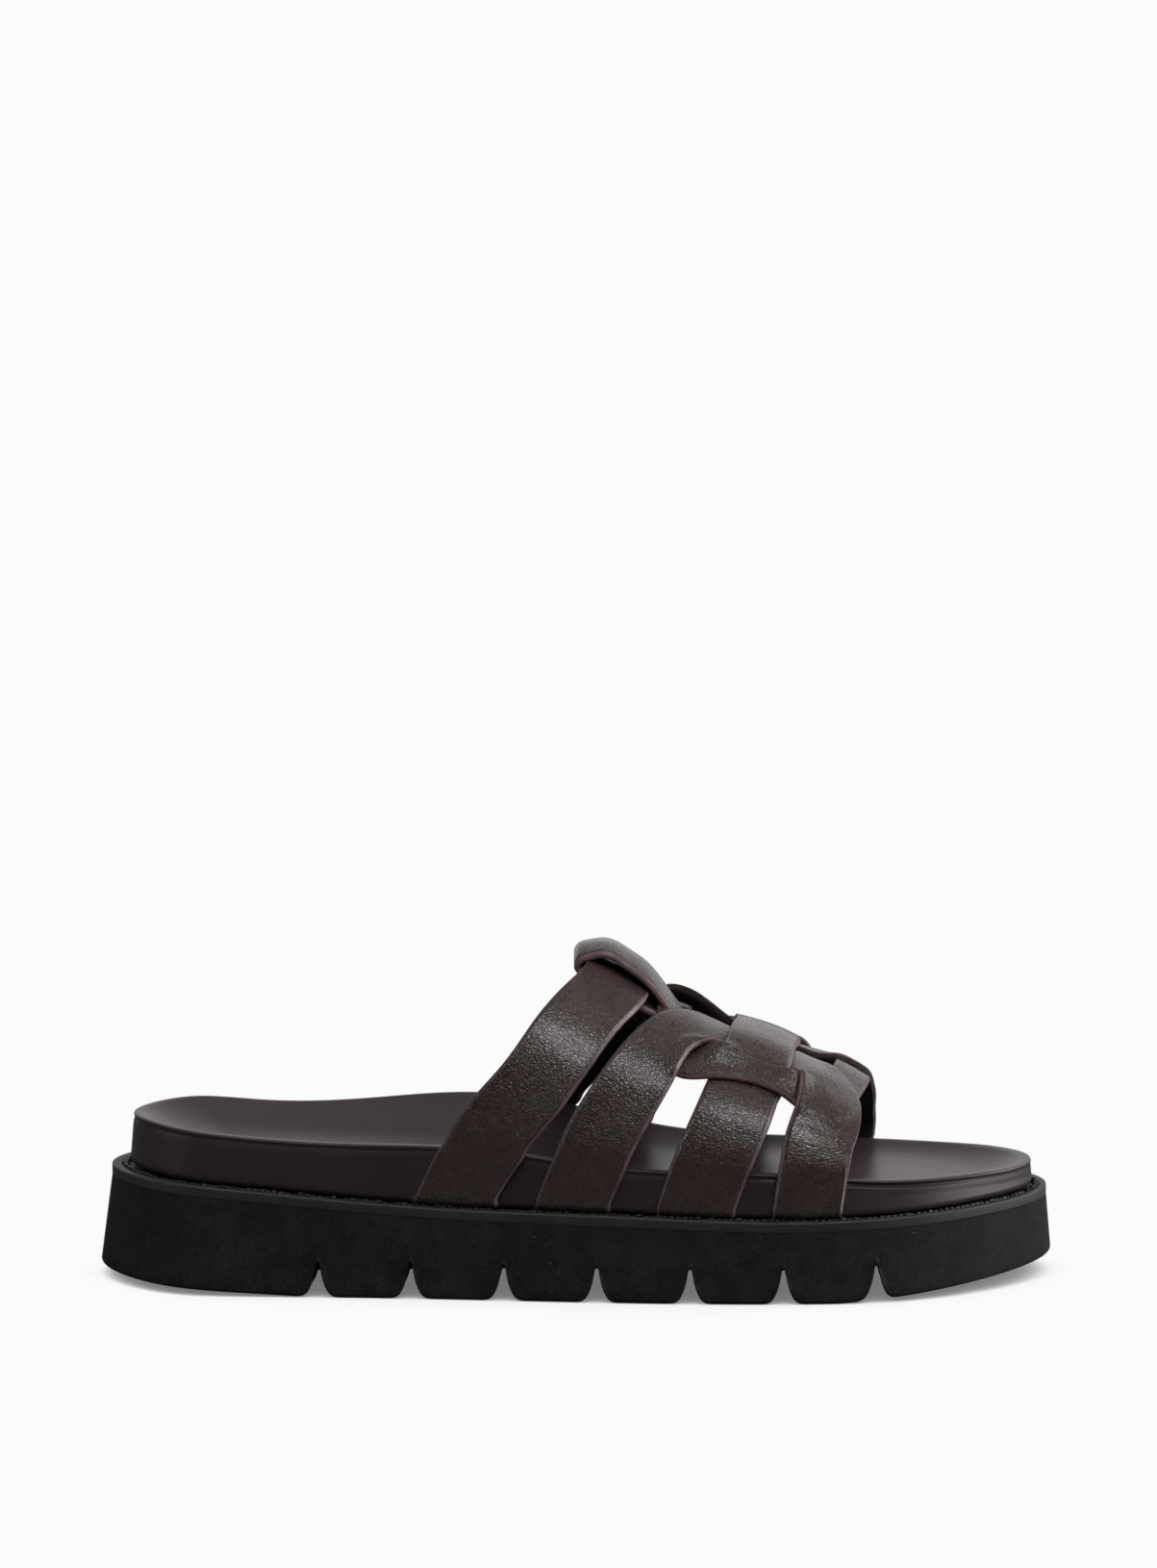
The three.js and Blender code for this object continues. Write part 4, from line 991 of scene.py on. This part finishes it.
class Lay:
    """One strap laid on the last: its stations, the last's surface under its width, and how
    high its underside lies over that surface at each place."""

    def __init__(self, rows, steps, seated=True, folds=(), bead=-1, crown=0.3, lift=None):
        run = run_of(np.hypot(np.diff(rows[:, 0]), np.diff(rows[:, 1] * TYPICAL_GIRTH)))
        curves = [spline(run, values) for values in rows.T]
        d = np.linspace(0, run[-1], steps)
        x, reach, width, layers = (curve(d) for curve in curves)
        slopes = [curve(d + 0.1) - curve(d - 0.1) for curve in curves[:2]]
        station = np.stack([x, reach, width, np.maximum(0, layers), *slopes], 1)
        if seated:
            station = self.with_tails(station)
        self.folds, self.bead, self.crown, self.lift = folds, bead, crown, lift
        self.x, self.reach, width, layers, self.slope_x, self.slope_reach = station.T
        self.half = width / 2
        self.sideways()
        self.ground = last_point(*self.spread(np.linspace(-1, 1, LAY_COLUMNS)))
        self.middle = self.ground[:, LAY_COLUMNS // 2]
        self.sidestep = self.ground[:, -1] - self.ground[:, 0]
        self.run = run_of(gaps_of(self.middle))
        base = layers * (STRAP_THICKNESS - FUSE)
        self.height = np.repeat(base[:, None], LAY_COLUMNS, 1)

    @staticmethod
    def with_tails(station):
        """Ends at the welt go on round the turn and in below the footbed. Past the welt a
        reach of one is a hundred millimetres, and the turn is a quarter circle."""
        turned = FOOT_RADIUS * math.pi / 2 / 100
        past = np.concatenate([np.linspace(0, turned, TURN_STATIONS + 1)[1:],
                               turned + np.array(TAIL_REACH)])

        def tail(end, way):
            """The end's station repeated, moved on by its own slope."""
            rows = np.repeat(end[None], len(past), 0)
            rows[:, 0] += way * end[4] / abs(end[5]) * past
            rows[:, 1] += np.sign(end[1]) * past
            return rows

        parts = [station]
        if abs(station[0, 1]) > SEATED:
            parts.insert(0, tail(station[0], -1)[::-1])
        if abs(station[-1, 1]) > SEATED:
            parts.append(tail(station[-1], 1))
        return np.concatenate(parts)

    def sideways(self):
        """Step in x and reach from the middle to the edge: square to the strap high up, and
        level with the welt at its feet."""
        _, along_x, along_reach, normal = last_frame(self.x, self.reach)
        run = unit(along_x * self.slope_x[:, None] + along_reach * self.slope_reach[:, None])
        across = unit(np.cross(normal, run))
        xx, rr = (along_x**2).sum(1), (along_reach**2).sum(1)
        xr = (along_x * along_reach).sum(1)
        bx, br = (along_x * across).sum(1), (along_reach * across).sum(1)
        det = xx * rr - xr**2
        mix = smooth_step(*LEVEL_CUT, np.abs(self.reach))
        self.step_x = ((1 - mix) * (rr * bx - xr * br) / det + mix / bx) * self.half
        self.step_reach = (1 - mix) * (xx * br - xr * bx) / det * self.half

    def spread(self, places):
        """The x and the reach of places across the strap."""
        return (self.x[:, None] + places * self.step_x[:, None],
                self.reach[:, None] + places * self.step_reach[:, None])

    @staticmethod
    def column_at(place):
        """The column below a place across, from -1 to 1, and the share of the way to the next."""
        at = (place + 1) / 2 * (LAY_COLUMNS - 1)
        k = at.astype(int).clip(0, LAY_COLUMNS - 2)
        return k, at - k

    def lie_over(self, other, pick, clearance=0.1, firm=0.4, ramp=5.0):
        """Raises this strap where it crosses over the picked stretch of another: a full
        thickness over the other's top out to its edge, then down by a smooth step."""
        middle, half, height = other.middle[pick], other.half[pick], other.height[pick]
        rows = self.ground.reshape(-1, 3)
        near = np.concatenate([
            np.linalg.norm(block[:, None] - middle[None], axis=2).argmin(1)
            for block in np.array_split(rows, BLOCKS)])
        gap = rows - middle[near]
        beyond = np.linalg.norm(gap, axis=1) - half[near]
        way = (gap * unit(other.sidestep[pick])[near]).sum(1) / half[near]
        k, t = self.column_at(way.clip(-1, 1))
        top = height[near, k] * (1 - t) + height[near, k + 1] * t
        share = 1 - smooth_step(firm, firm + ramp, beyond)
        need = (top + STRAP_THICKNESS + clearance) * share
        self.height = np.maximum(self.height, need.reshape(self.height.shape))

    def settle(self, along, across=4):
        """Smooths the heights along the strap and across it."""
        self.height = blur(blur(self.height, along, 0), across, 1)

    def crease(self, places):
        """Depth of the listed folds at each place: each is a trough with a bell profile
        across its line and along it."""
        depth = np.zeros(places.shape)
        across = places * self.half[:, None]
        for share, place, slant, reach, width, deep in self.folds:
            a, b = self.run[:, None] - share * self.run[-1], across - place * self.half[:, None]
            c, s = math.cos(math.radians(slant)), math.sin(math.radians(slant))
            square, line = a * c - b * s, a * s + b * c
            depth += deep * np.exp(-(square / width) ** 2 - (line / reach) ** 2)
        return depth

    def surface(self, across):
        """Closed section rings along the strap, with their places across. The strap is crowned
        by 1 - v^2 across it."""
        places, shares = section(self.half, across, self.bead)
        ground, _, _, normal = last_frame(*self.spread(places))
        k, t = self.column_at(places)
        rows = np.arange(len(self.x))[:, None]
        under = self.height[rows, k] * (1 - t) + self.height[rows, k + 1] * t
        under = under - self.crease(places) + self.crown * (1 - places**2)
        if self.lift is not None:
            along = (self.x - FOOTBED_BACK) / FOOTBED_LENGTH * 100
            under = under + self.lift(along[:, None], self.reach[:, None], places)
        up = under + shares * STRAP_THICKNESS
        points = ground + normal * up[..., None]
        free = smooth_step(*SMOOTHED, np.abs(self.reach))[:, None, None]
        return points + (blur(points, SMOOTHING) - points) * free, places


def strap_mesh(name, points, run, z_rim, materials, across, bead, worked=0.0):
    """Mesh of a strap from its rings, with four finishes: top, painted bead, cut edge and
    flesh side. Its surface map runs across and along the strap in centimetres."""
    top, painted, cut, flesh = range(4)
    right, left = (painted, cut) if bead > 0 else (cut, painted)
    stations, around = points.shape[:2]
    edge = len(CUT_EDGE)
    quads = ring_quads(stations, around)
    k = np.tile(np.arange(around), stations - 1)
    top_end, right_end, back_end = across - 1, across + edge, 2 * across + edge - 1
    finish = np.select([k < top_end, k < right_end, k < back_end], [top, right, flesh], left)
    ends = [np.arange(around)[None, ::-1], np.arange(around)[None] + (stations - 1) * around]
    finish = np.concatenate([finish, [painted, painted]])
    wide = np.linalg.norm(np.diff(points, axis=1, append=points[:, :1]), axis=2)
    round_run = np.concatenate([np.zeros((stations, 1)), np.cumsum(wide, 1)], 1)
    round_run -= round_run[:, across // 2][:, None]
    i = np.repeat(np.arange(stations - 1), around)
    corner = [(i, k), (i, k + 1), (i + 1, k + 1), (i + 1, k)]
    uv = np.stack([np.stack([round_run[a, b], run[a]], -1) for a, b in corner], 1).reshape(-1, 2)
    end_uv = [np.stack([round_run[0, :-1][::-1], np.full(around, run[0])], 1),
              np.stack([round_run[-1, :-1], np.full(around, run[-1])], 1)]
    uv = np.concatenate([uv, *end_uv]) / SURFACE_UNIT
    above = smooth_step(*SLACK_HEIGHTS, points[..., 2] - z_rim)
    slack = LEAST_SLACK + (1 - LEAST_SLACK) * above
    worked = np.broadcast_to(worked, (stations, around))
    new_piece(name, points.reshape(-1, 3), [quads, *ends], materials,
              face_finish=finish, corner_uv=uv,
              fields={"slack": slack, "worked": worked}, nodes=("upper",))


def rim_level(x, reach):
    """Height of the footbed's rim beside each station, on the station's own side."""
    return np.where(reach < 0, rim_outer(x), rim_inner(x))[:, None]


# Where the inner loop's upper edge stands off the foot: how far in mm, its place along and the
# place's spread in percent; and the reach over which that fades.
STAND_OFF = ((3.4, 61.5, 3.4), (2.0, 78.2, 2.2))
STAND_OFF_FADE = (0.62, 0.3)


def far_loop_lift(along, reach, v):
    """The inner loop's upper edge stands off the foot beside the centre loop and again over
    the toes: bells along the strap times a ramp across it."""
    bells = sum(lift * np.exp(-((along - place) / spread) ** 2)
                for lift, place, spread in STAND_OFF)
    return bells * (1 - v) / 2 * smooth_step(*STAND_OFF_FADE, np.abs(reach))


# Stations along the straps.
STRAP_STATIONS, LOOP_STATIONS, RING_STATIONS, CENTRE_LOOP_STATIONS = 330, 340, 420, 190
# The ring crosses the middle strap here, in percent along; its shoulders lie this far from
# there in mm. The middle strap's flanks and the loops' tops are told by their reach.
RING_CROSSING, RING_SHOULDERS = 68.3, (10, 17)
FLANKS, LOOP_TOP = (0.3, 0.62), 0.31
# The stretch over which a strap comes down from another, in mm, at a flat crossing and at a
# shoulder; and how far the outer and the inner loop may rise over the ring's shoulders.
LONG_RAMP, SHORT_RAMP = 8.0, 4.0
OUTER_RISE, INNER_RISE = 2.2, 0.8


def weave():
    """All straps laid on the last. Where two cross, the upper one is raised over the lower:
    the loops over the ring's ends, the middle strap over the loops, the ring over the middle
    strap, and last the loops' edges over the ring's shoulders."""
    rear = Lay(both_sides(REAR_STRAP), STRAP_STATIONS, folds=REAR_FOLDS + mirrored(REAR_FOLDS))
    middle = Lay(both_sides(MIDDLE_STRAP), STRAP_STATIONS,
                 folds=MIDDLE_FOLDS + mirrored(MIDDLE_FOLDS))
    outer = Lay(mark_side(LOOP_STRAP, False), LOOP_STATIONS, folds=LOOP_FOLDS)
    inner = Lay(mark_side(LOOP_STRAP, True), LOOP_STATIONS, folds=LOOP_FOLDS, bead=1,
                lift=far_loop_lift)
    ring = Lay(both_sides(RING_STRAP), RING_STATIONS, seated=False, folds=RING_FOLDS)
    from_middle = np.abs(ring.x - x_of(RING_CROSSING))
    for loop in (outer, inner):
        loop.lie_over(ring, from_middle > middle.half.max())
        loop.settle(along=3)
        middle.lie_over(loop, np.abs(loop.reach) < LOOP_TOP, ramp=LONG_RAMP)
    middle.settle(along=10, across=10)
    ring.lie_over(middle, between(np.abs(middle.reach), *FLANKS), ramp=LONG_RAMP)
    ring.settle(along=20, across=10)
    for loop, rise in ((outer, OUTER_RISE), (inner, INNER_RISE)):
        most = loop.height + rise
        loop.lie_over(ring, between(from_middle, *RING_SHOULDERS), ramp=SHORT_RAMP)
        loop.height = np.minimum(loop.height, most)
        loop.settle(along=8, across=3)
    return {"rear_strap": rear, "middle_strap": middle, "outer_loop": outer,
            "inner_loop": inner, "ring_strap": ring}


def mirrored(folds):
    """The same folds met from the strap's other end."""
    return tuple((1 - share, -place, -slant, reach, width, deep)
                 for share, place, slant, reach, width, deep in folds)


def worked_zone(lay, places, zones):
    """Where the leather is wrinkled: a bell along the strap round each zone's middle."""
    share = (lay.run / lay.run[-1])[:, None]
    total = sum(depth * np.exp(-((share - at) / wide) ** 2) for at, wide, depth in zones)
    return np.broadcast_to(np.clip(total, 0, 1), places.shape)


# Where a strap is wrinkled: share of its length, spread, and how much.
LOOP_WORKED = ((0.16, 0.06, 0.7), (0.86, 0.06, 0.9))
WORKED = {
    "rear_strap": ((0.36, 0.09, 0.8), (0.64, 0.09, 0.8), (0.14, 0.05, 0.6), (0.86, 0.05, 0.6)),
    "middle_strap": ((0.19, 0.06, 0.9), (0.81, 0.06, 0.9), (0.46, 0.06, 0.5), (0.54, 0.06, 0.5)),
    "outer_loop": LOOP_WORKED,
    "inner_loop": LOOP_WORKED,
    "ring_strap": ((0.1, 0.05, 0.5), (0.9, 0.05, 0.5)),
}


def centre_loop_surface(steps, across):
    """The centre loop: its side profile carried across the crest, with a crown that falls
    by y squared over twice its radius, the radius growing by a bell towards the heel."""
    x = x_of(CENTRE_LOOP[:, 0])
    z = crest(x) + CENTRE_LOOP[:, 1]
    run = run_of(np.hypot(np.diff(x), np.diff(z)))
    at = np.linspace(0, run[-1], steps)
    curve_x, curve_z = spline(run, x), spline(run, z)
    px, pz = curve_x(at), curve_z(at)
    tx, tz = (curve(at + 0.05) - curve(at - 0.05) for curve in (curve_x, curve_z))
    size = np.hypot(tx, tz)
    nx, nz = -tz / size, tx / size
    half = np.full(steps, CENTRE_LOOP_WIDTH / 2)
    places, shares = section(half, across, -1)
    y = places * half[:, None]
    off = (shares - 0.5) * STRAP_THICKNESS
    radius, rear_radius, rear_place, spread = CENTRE_LOOP_CROWN
    flatter = np.exp(-((px - x_of(rear_place)) / spread) ** 2)[:, None]
    radius = radius + (rear_radius - radius) * flatter
    points = np.stack([
        px[:, None] - nx[:, None] * off, CREST_INNER + y,
        pz[:, None] - nz[:, None] * off - y**2 / (2 * radius)], -1)
    return points, at


# -------- stage

# The floor: light thrown back, its white in the open, how dark it gets where the sky is quite
# covered, from which share of open sky it is white, and how far off things cover the sky.
FLOOR_BOUNCE = 0.16
FLOOR_WHITE = 0.965
FLOOR_SHADE = 0.17
FLOOR_OPEN = 0.62
FLOOR_SHADE_REACH = 0.06
# Soft lights of the room: setting, turn from the camera towards the toe and height over the
# floor in degrees, and half angles in degrees of the full part and of the edge where it ends.
LIGHTS = (
    ("key", 23, 53, 4, 14),
    ("top", 200, 78, 14, 42),
    ("side", 92, 8, 12, 30),
    ("rear", 284, 14, 8, 26),
)
# The bright wall behind, given the same way, and the heights over which its top fades.
BACK_WALL = (166, 5, 38, 62)
BACK_TOP = (22, 46)
ROOM_ANGLE = 120
SENSOR_WIDTH = 36.0
CLIP = (0.05, 200.0)


def make_floor(studio, colours):
    """A flat square of white paper. The camera sees it evenly lit and shaded only by how much
    of the sky above it is covered. It throws back less light than it shows, as a small sheet
    in a dark room does."""
    size = studio.floor_size
    mesh = bpy.data.meshes.new("floor")
    mesh.from_pydata([(-size, -size, 0), (size, -size, 0), (size, size, 0), (-size, size, 0)],
                     [], [(0, 1, 2, 3)])
    floor = bpy.data.objects.new("floor", mesh)
    bpy.context.scene.collection.objects.link(floor)
    f = Finish("floor_paper", Specular_IOR_Level=0.0, Roughness=0.9)
    seen = f.add("ShaderNodeLightPath").outputs["Is Camera Ray"]
    sky = f.add("ShaderNodeAmbientOcclusion", {"Distance": FLOOR_SHADE_REACH}, samples=6)
    grain = f.span(f.noise(f.place(), 900.0, 2.0), 0.3, 0.7, 0.999, 1.001)
    lit = f.math("MULTIPLY", f.span(sky.outputs["AO"], 0.0, FLOOR_OPEN, FLOOR_SHADE,
                                    FLOOR_WHITE), grain)
    black, white = (0, 0, 0, 1), (1, 1, 1, 1)
    f.join(f.shader.inputs["Emission Color"], f.blend(lit, black, white))
    f.join(f.shader.inputs["Emission Strength"], seen)
    mesh.materials.append(f.done(f.blend(seen, shade(colours.floor, FLOOR_BOUNCE), black)))


def heading(turn, height):
    """Unit vector: turned from -Y towards +X, and raised."""
    turn, height = math.radians(turn), math.radians(height)
    return (math.sin(turn) * math.cos(height), -math.cos(turn) * math.cos(height),
            math.sin(height))


def make_light(scene, studio):
    """A sky of soft lobes, each a smooth step of the angle to its middle, a low bright wall
    behind, and an even light from above that only matt surfaces take. What the camera sees
    beyond the floor is plain white."""
    world = bpy.data.worlds.new("studio")
    world.use_nodes = True
    scene.world = world
    world.node_tree.nodes.clear()
    sky = Nodes(world.node_tree)
    sight = sky.add("ShaderNodeTexCoord").outputs["Generated"]

    def lobe(turn, height, full, faded, strength):
        """Full strength within one angle of the lobe's middle, and none beyond the other."""
        middle = sky.vector("DOT_PRODUCT", {0: sight, 1: heading(turn, height)}, "Value")
        full, faded = (math.cos(math.radians(angle)) for angle in (full, faded))
        return sky.span(middle, faded, full, 0.0, strength)

    height = sky.add("ShaderNodeSeparateXYZ", {0: sight}).outputs["Z"]
    full, faded = (math.sin(math.radians(angle)) for angle in BACK_TOP)
    total = sky.math("MULTIPLY", lobe(*BACK_WALL, studio.back), sky.span(height, faded, full))
    for setting, *shape in LIGHTS:
        total = sky.math("ADD", total, lobe(*shape, getattr(studio, setting)))
    lit = sky.add("ShaderNodeBackground", {"Strength": total}).outputs[0]
    white = (FLOOR_WHITE, FLOOR_WHITE, FLOOR_WHITE, 1.0)
    seen = sky.add("ShaderNodeBackground", {"Color": white}).outputs[0]
    camera_ray = sky.add("ShaderNodeLightPath").outputs["Is Camera Ray"]
    shown = sky.add("ShaderNodeMixShader", {0: camera_ray, 1: lit, 2: seen}).outputs[0]
    sky.add("ShaderNodeOutputWorld", {"Surface": shown})

    sun = bpy.data.lights.new("room_light", "SUN")
    sun.energy, sun.angle = studio.room, math.radians(ROOM_ANGLE)
    lamp = bpy.data.objects.new("room_light", sun)
    lamp.visible_glossy = False
    scene.collection.objects.link(lamp)


def make_camera(scene, studio):
    """A long lens at the outer side of the shoe, looking along +Y and a little down."""
    data = bpy.data.cameras.new("camera")
    data.lens, data.sensor_width = studio.lens, SENSOR_WIDTH
    data.clip_start, data.clip_end = CLIP
    camera = bpy.data.objects.new("camera", data)
    camera.location = (studio.aside, -studio.distance, studio.height)
    camera.rotation_euler = (math.pi / 2 - studio.pitch, 0.0, 0.0)
    scene.collection.objects.link(camera)
    scene.camera = camera
    scene.view_settings.view_transform = "Standard"


# -------- settings a user would change

def length_property(name, description, default):
    """A length in metres."""
    return FloatProperty(name=name, description=description, default=default, min=0.0,
                         subtype="DISTANCE", unit="LENGTH", precision=5)


def colour_property(name, description, default):
    """A colour, as linear red, green and blue."""
    return FloatVectorProperty(name=name, description=description, default=default, size=3,
                               min=0.0, max=1.0, subtype="COLOR")


def number_property(name, description, default):
    """A plain number that isn't negative."""
    return FloatProperty(name=name, description=description, default=default, min=0.0)


class SandalSizes(PropertyGroup):
    """Sizes of the thin work, and how fine the meshes are"""
    sole_edge: length_property("Sole edge", "Radius of the sole's lower edge", 0.0012)
    stitch_pitch: length_property("Stitch pitch", "From one stitch to the next", 0.0019)
    stitch_length: length_property("Stitch length", "Length of a stitch", 0.0021)
    thread_radius: length_property("Thread radius", "Half the thread's thickness", 0.00062)
    outline_steps: IntProperty(name="Outline steps", default=520, min=96,
                               description="Points round the footbed and the welt")
    strap_steps: IntProperty(name="Strap steps", default=23, min=9,
                             description="Points across the top of a strap")


class SandalColours(PropertyGroup):
    """Colours of the sandal's pieces and of the floor"""
    leather: colour_property("Leather", "Straps, top side", (0.0550, 0.0338, 0.0328))
    edge: colour_property("Edge paint", "Cut edges of the straps", (0.155, 0.092, 0.098))
    back: colour_property("Flesh side", "Straps, inner side", (0.012, 0.009, 0.009))
    wall: colour_property("Footbed wall", "Lining round the footbed", (0.039, 0.027, 0.030))
    bed: colour_property("Bed", "Lining under the foot", (0.049, 0.032, 0.036))
    welt: colour_property("Welt", "Rubber strip round the footbed", (0.034, 0.034, 0.035))
    sole: colour_property("Sole", "Foam rubber", (0.0140, 0.0138, 0.0140))
    speck: colour_property("Specks", "Pale fibres in the foam", (0.16, 0.16, 0.16))
    thread: colour_property("Thread", "Stitching in the welt", (0.004, 0.004, 0.004))
    floor: colour_property("Floor", "Plain floor", (0.86, 0.86, 0.865))


class StudioSettings(PropertyGroup):
    """Camera, floor and lights"""
    distance: length_property("Camera distance", "From the shoe's middle", 1.872)
    height: length_property("Camera height", "Over the floor", 0.375)
    aside: length_property("Camera aside", "Towards the toe", 0.0006)
    pitch: FloatProperty(name="Camera pitch", description="Downwards tilt", subtype="ANGLE",
                         unit="ROTATION", default=math.radians(7.015))
    lens: number_property("Lens", "Focal length in mm", 147.8)
    floor_size: length_property("Floor", "Half the floor's width", 40.0)
    key: number_property("Key light", "Softbox over the camera", 12.0)
    top: number_property("Top light", "Softbox overhead", 0.5)
    side: number_property("Side light", "Softbox beyond the toe", 8.0)
    rear: number_property("Rear light", "Softbox beyond the heel", 1.2)
    back: number_property("Back wall", "Bright wall behind", 1.05)
    room: number_property("Room light", "Even light that gives no gloss", 0.7)


# -------- operators

def settings(context):
    """The scene's sizes and colours."""
    return context.scene.sandal_sizes, context.scene.sandal_colours


class SANDAL_OT_stage(Operator):
    """Floor, soft studio light and camera"""
    bl_idname = "sandal.stage"
    bl_label = "Stage"

    def execute(self, context):
        studio, colours = context.scene.sandal_studio, context.scene.sandal_colours
        make_floor(studio, colours)
        make_light(context.scene, studio)
        make_camera(context.scene, studio)
        return {"FINISHED"}


class SANDAL_OT_outsole(Operator):
    """Foam sole with seven grooves across its tread"""
    bl_idname = "sandal.outsole"
    bl_label = "Outsole"

    def execute(self, context):
        sizes, colours = settings(context)
        points, faces = plate(outsole_rings(sizes.sole_edge / MM))
        new_piece("outsole_foam", points, faces, [sole_foam(colours)], sharp=38,
                  nodes=("outsole",))
        return {"FINISHED"}


class SANDAL_OT_welt(Operator):
    """Rubber strip with a stitched groove, and its thread"""
    bl_idname = "sandal.welt"
    bl_label = "Welt and stitching"

    def execute(self, context):
        sizes, colours = settings(context)
        rings = welt_rings(sizes.outline_steps)
        points, faces = plate(rings)
        # Painted highlight: how much the welt's top and outer edge rows are lightened in colour.
        painted_highlight = np.zeros(rings.shape[:2])
        painted_highlight[PAINTED_HIGHLIGHT_FROM:PAINTED_HIGHLIGHT_FROM + len(PAINTED_HIGHLIGHT)] = PAINTED_HIGHLIGHT[:, None]
        new_piece("welt_strip", points, faces, [welt_rubber(colours)],
                  sharp=60, fields={"painted_highlight": painted_highlight}, nodes=("welt",))
        points, faces = stitch_row(sizes.stitch_pitch / MM, sizes.stitch_length / MM,
                                   sizes.thread_radius / MM, seed=11)
        new_piece("welt_stitching", points, faces, [waxed_thread(colours)])
        return {"FINISHED"}


class SANDAL_OT_footbed(Operator):
    """Contoured footbed in its lining, with a rolled rim"""
    bl_idname = "sandal.footbed"
    bl_label = "Footbed"

    def execute(self, context):
        sizes, colours = settings(context)
        rings, side_rings = footbed_rings(sizes.outline_steps)
        points, faces = plate(rings)
        count = rings.shape[1]
        finish = np.zeros(sum(len(group) for group in faces), int)
        finish[(side_rings - RIM_RINGS) * count:(len(rings) - 1) * count] = 1
        finish[-(count // 2):] = 1
        new_piece("footbed_body", points, faces,
                  [lining("lining_wall", colours.wall, gloss=0.36, shine=0.32),
                   lining("lining_bed", colours.bed, gloss=0.3, shine=0.62)],
                  face_finish=finish, nodes=("footbed",))
        return {"FINISHED"}


class SANDAL_OT_straps(Operator):
    """Rear strap, middle strap, the two loops and the ring, woven together"""
    bl_idname = "sandal.straps"
    bl_label = "Woven straps"

    def execute(self, context):
        sizes, colours = settings(context)
        materials = [finish(colours) for finish in (strap_leather, strap_edge, cut_edge,
                                                    strap_back)]
        across = sizes.strap_steps
        for name, lay in weave().items():
            points, places = lay.surface(across)
            strap_mesh(name, points, lay.run, rim_level(lay.x, lay.reach), materials, across,
                       lay.bead, worked_zone(lay, places, WORKED[name]))
        points, run = centre_loop_surface(CENTRE_LOOP_STATIONS, across)
        handled = [strap_leather(colours, "handled_leather", bloom=0.6), *materials[1:]]
        strap_mesh("centre_loop", points, run, 0.0, handled, across, bead=-1)
        return {"FINISHED"}


class SANDAL_PT_panel(Panel):
    """Sizes, colours and steps of the sandal"""
    bl_label = "Footbed sandal"
    bl_idname = "SANDAL_PT_panel"
    bl_space_type = "VIEW_3D"
    bl_region_type = "UI"
    bl_category = "Sandal"

    def draw(self, context):
        for group in (context.scene.sandal_sizes, context.scene.sandal_colours,
                      context.scene.sandal_studio):
            box = self.layout.box()
            for key in group.bl_rna.properties.keys():
                if key not in {"rna_type", "name"}:
                    box.prop(group, key)
        for operator in STEPS:
            self.layout.operator(operator.bl_idname)


STEPS = (SANDAL_OT_stage, SANDAL_OT_outsole, SANDAL_OT_welt, SANDAL_OT_footbed, SANDAL_OT_straps)
CLASSES = (SandalSizes, SandalColours, StudioSettings, *STEPS, SANDAL_PT_panel)


def register():
    """Makes the classes known and hangs the settings on the scene."""
    for item in CLASSES:
        bpy.utils.register_class(item)
    bpy.types.Scene.sandal_sizes = PointerProperty(type=SandalSizes)
    bpy.types.Scene.sandal_colours = PointerProperty(type=SandalColours)
    bpy.types.Scene.sandal_studio = PointerProperty(type=StudioSettings)


def unregister():
    """Takes back what register has done."""
    del bpy.types.Scene.sandal_studio
    del bpy.types.Scene.sandal_colours
    del bpy.types.Scene.sandal_sizes
    for item in reversed(CLASSES):
        bpy.utils.unregister_class(item)


def main():
    """Builds the stage and all pieces."""
    register()
    bpy.ops.sandal.stage()
    bpy.ops.sandal.outsole()
    bpy.ops.sandal.welt()
    bpy.ops.sandal.footbed()
    bpy.ops.sandal.straps()


if __name__ == "__main__":
    main()
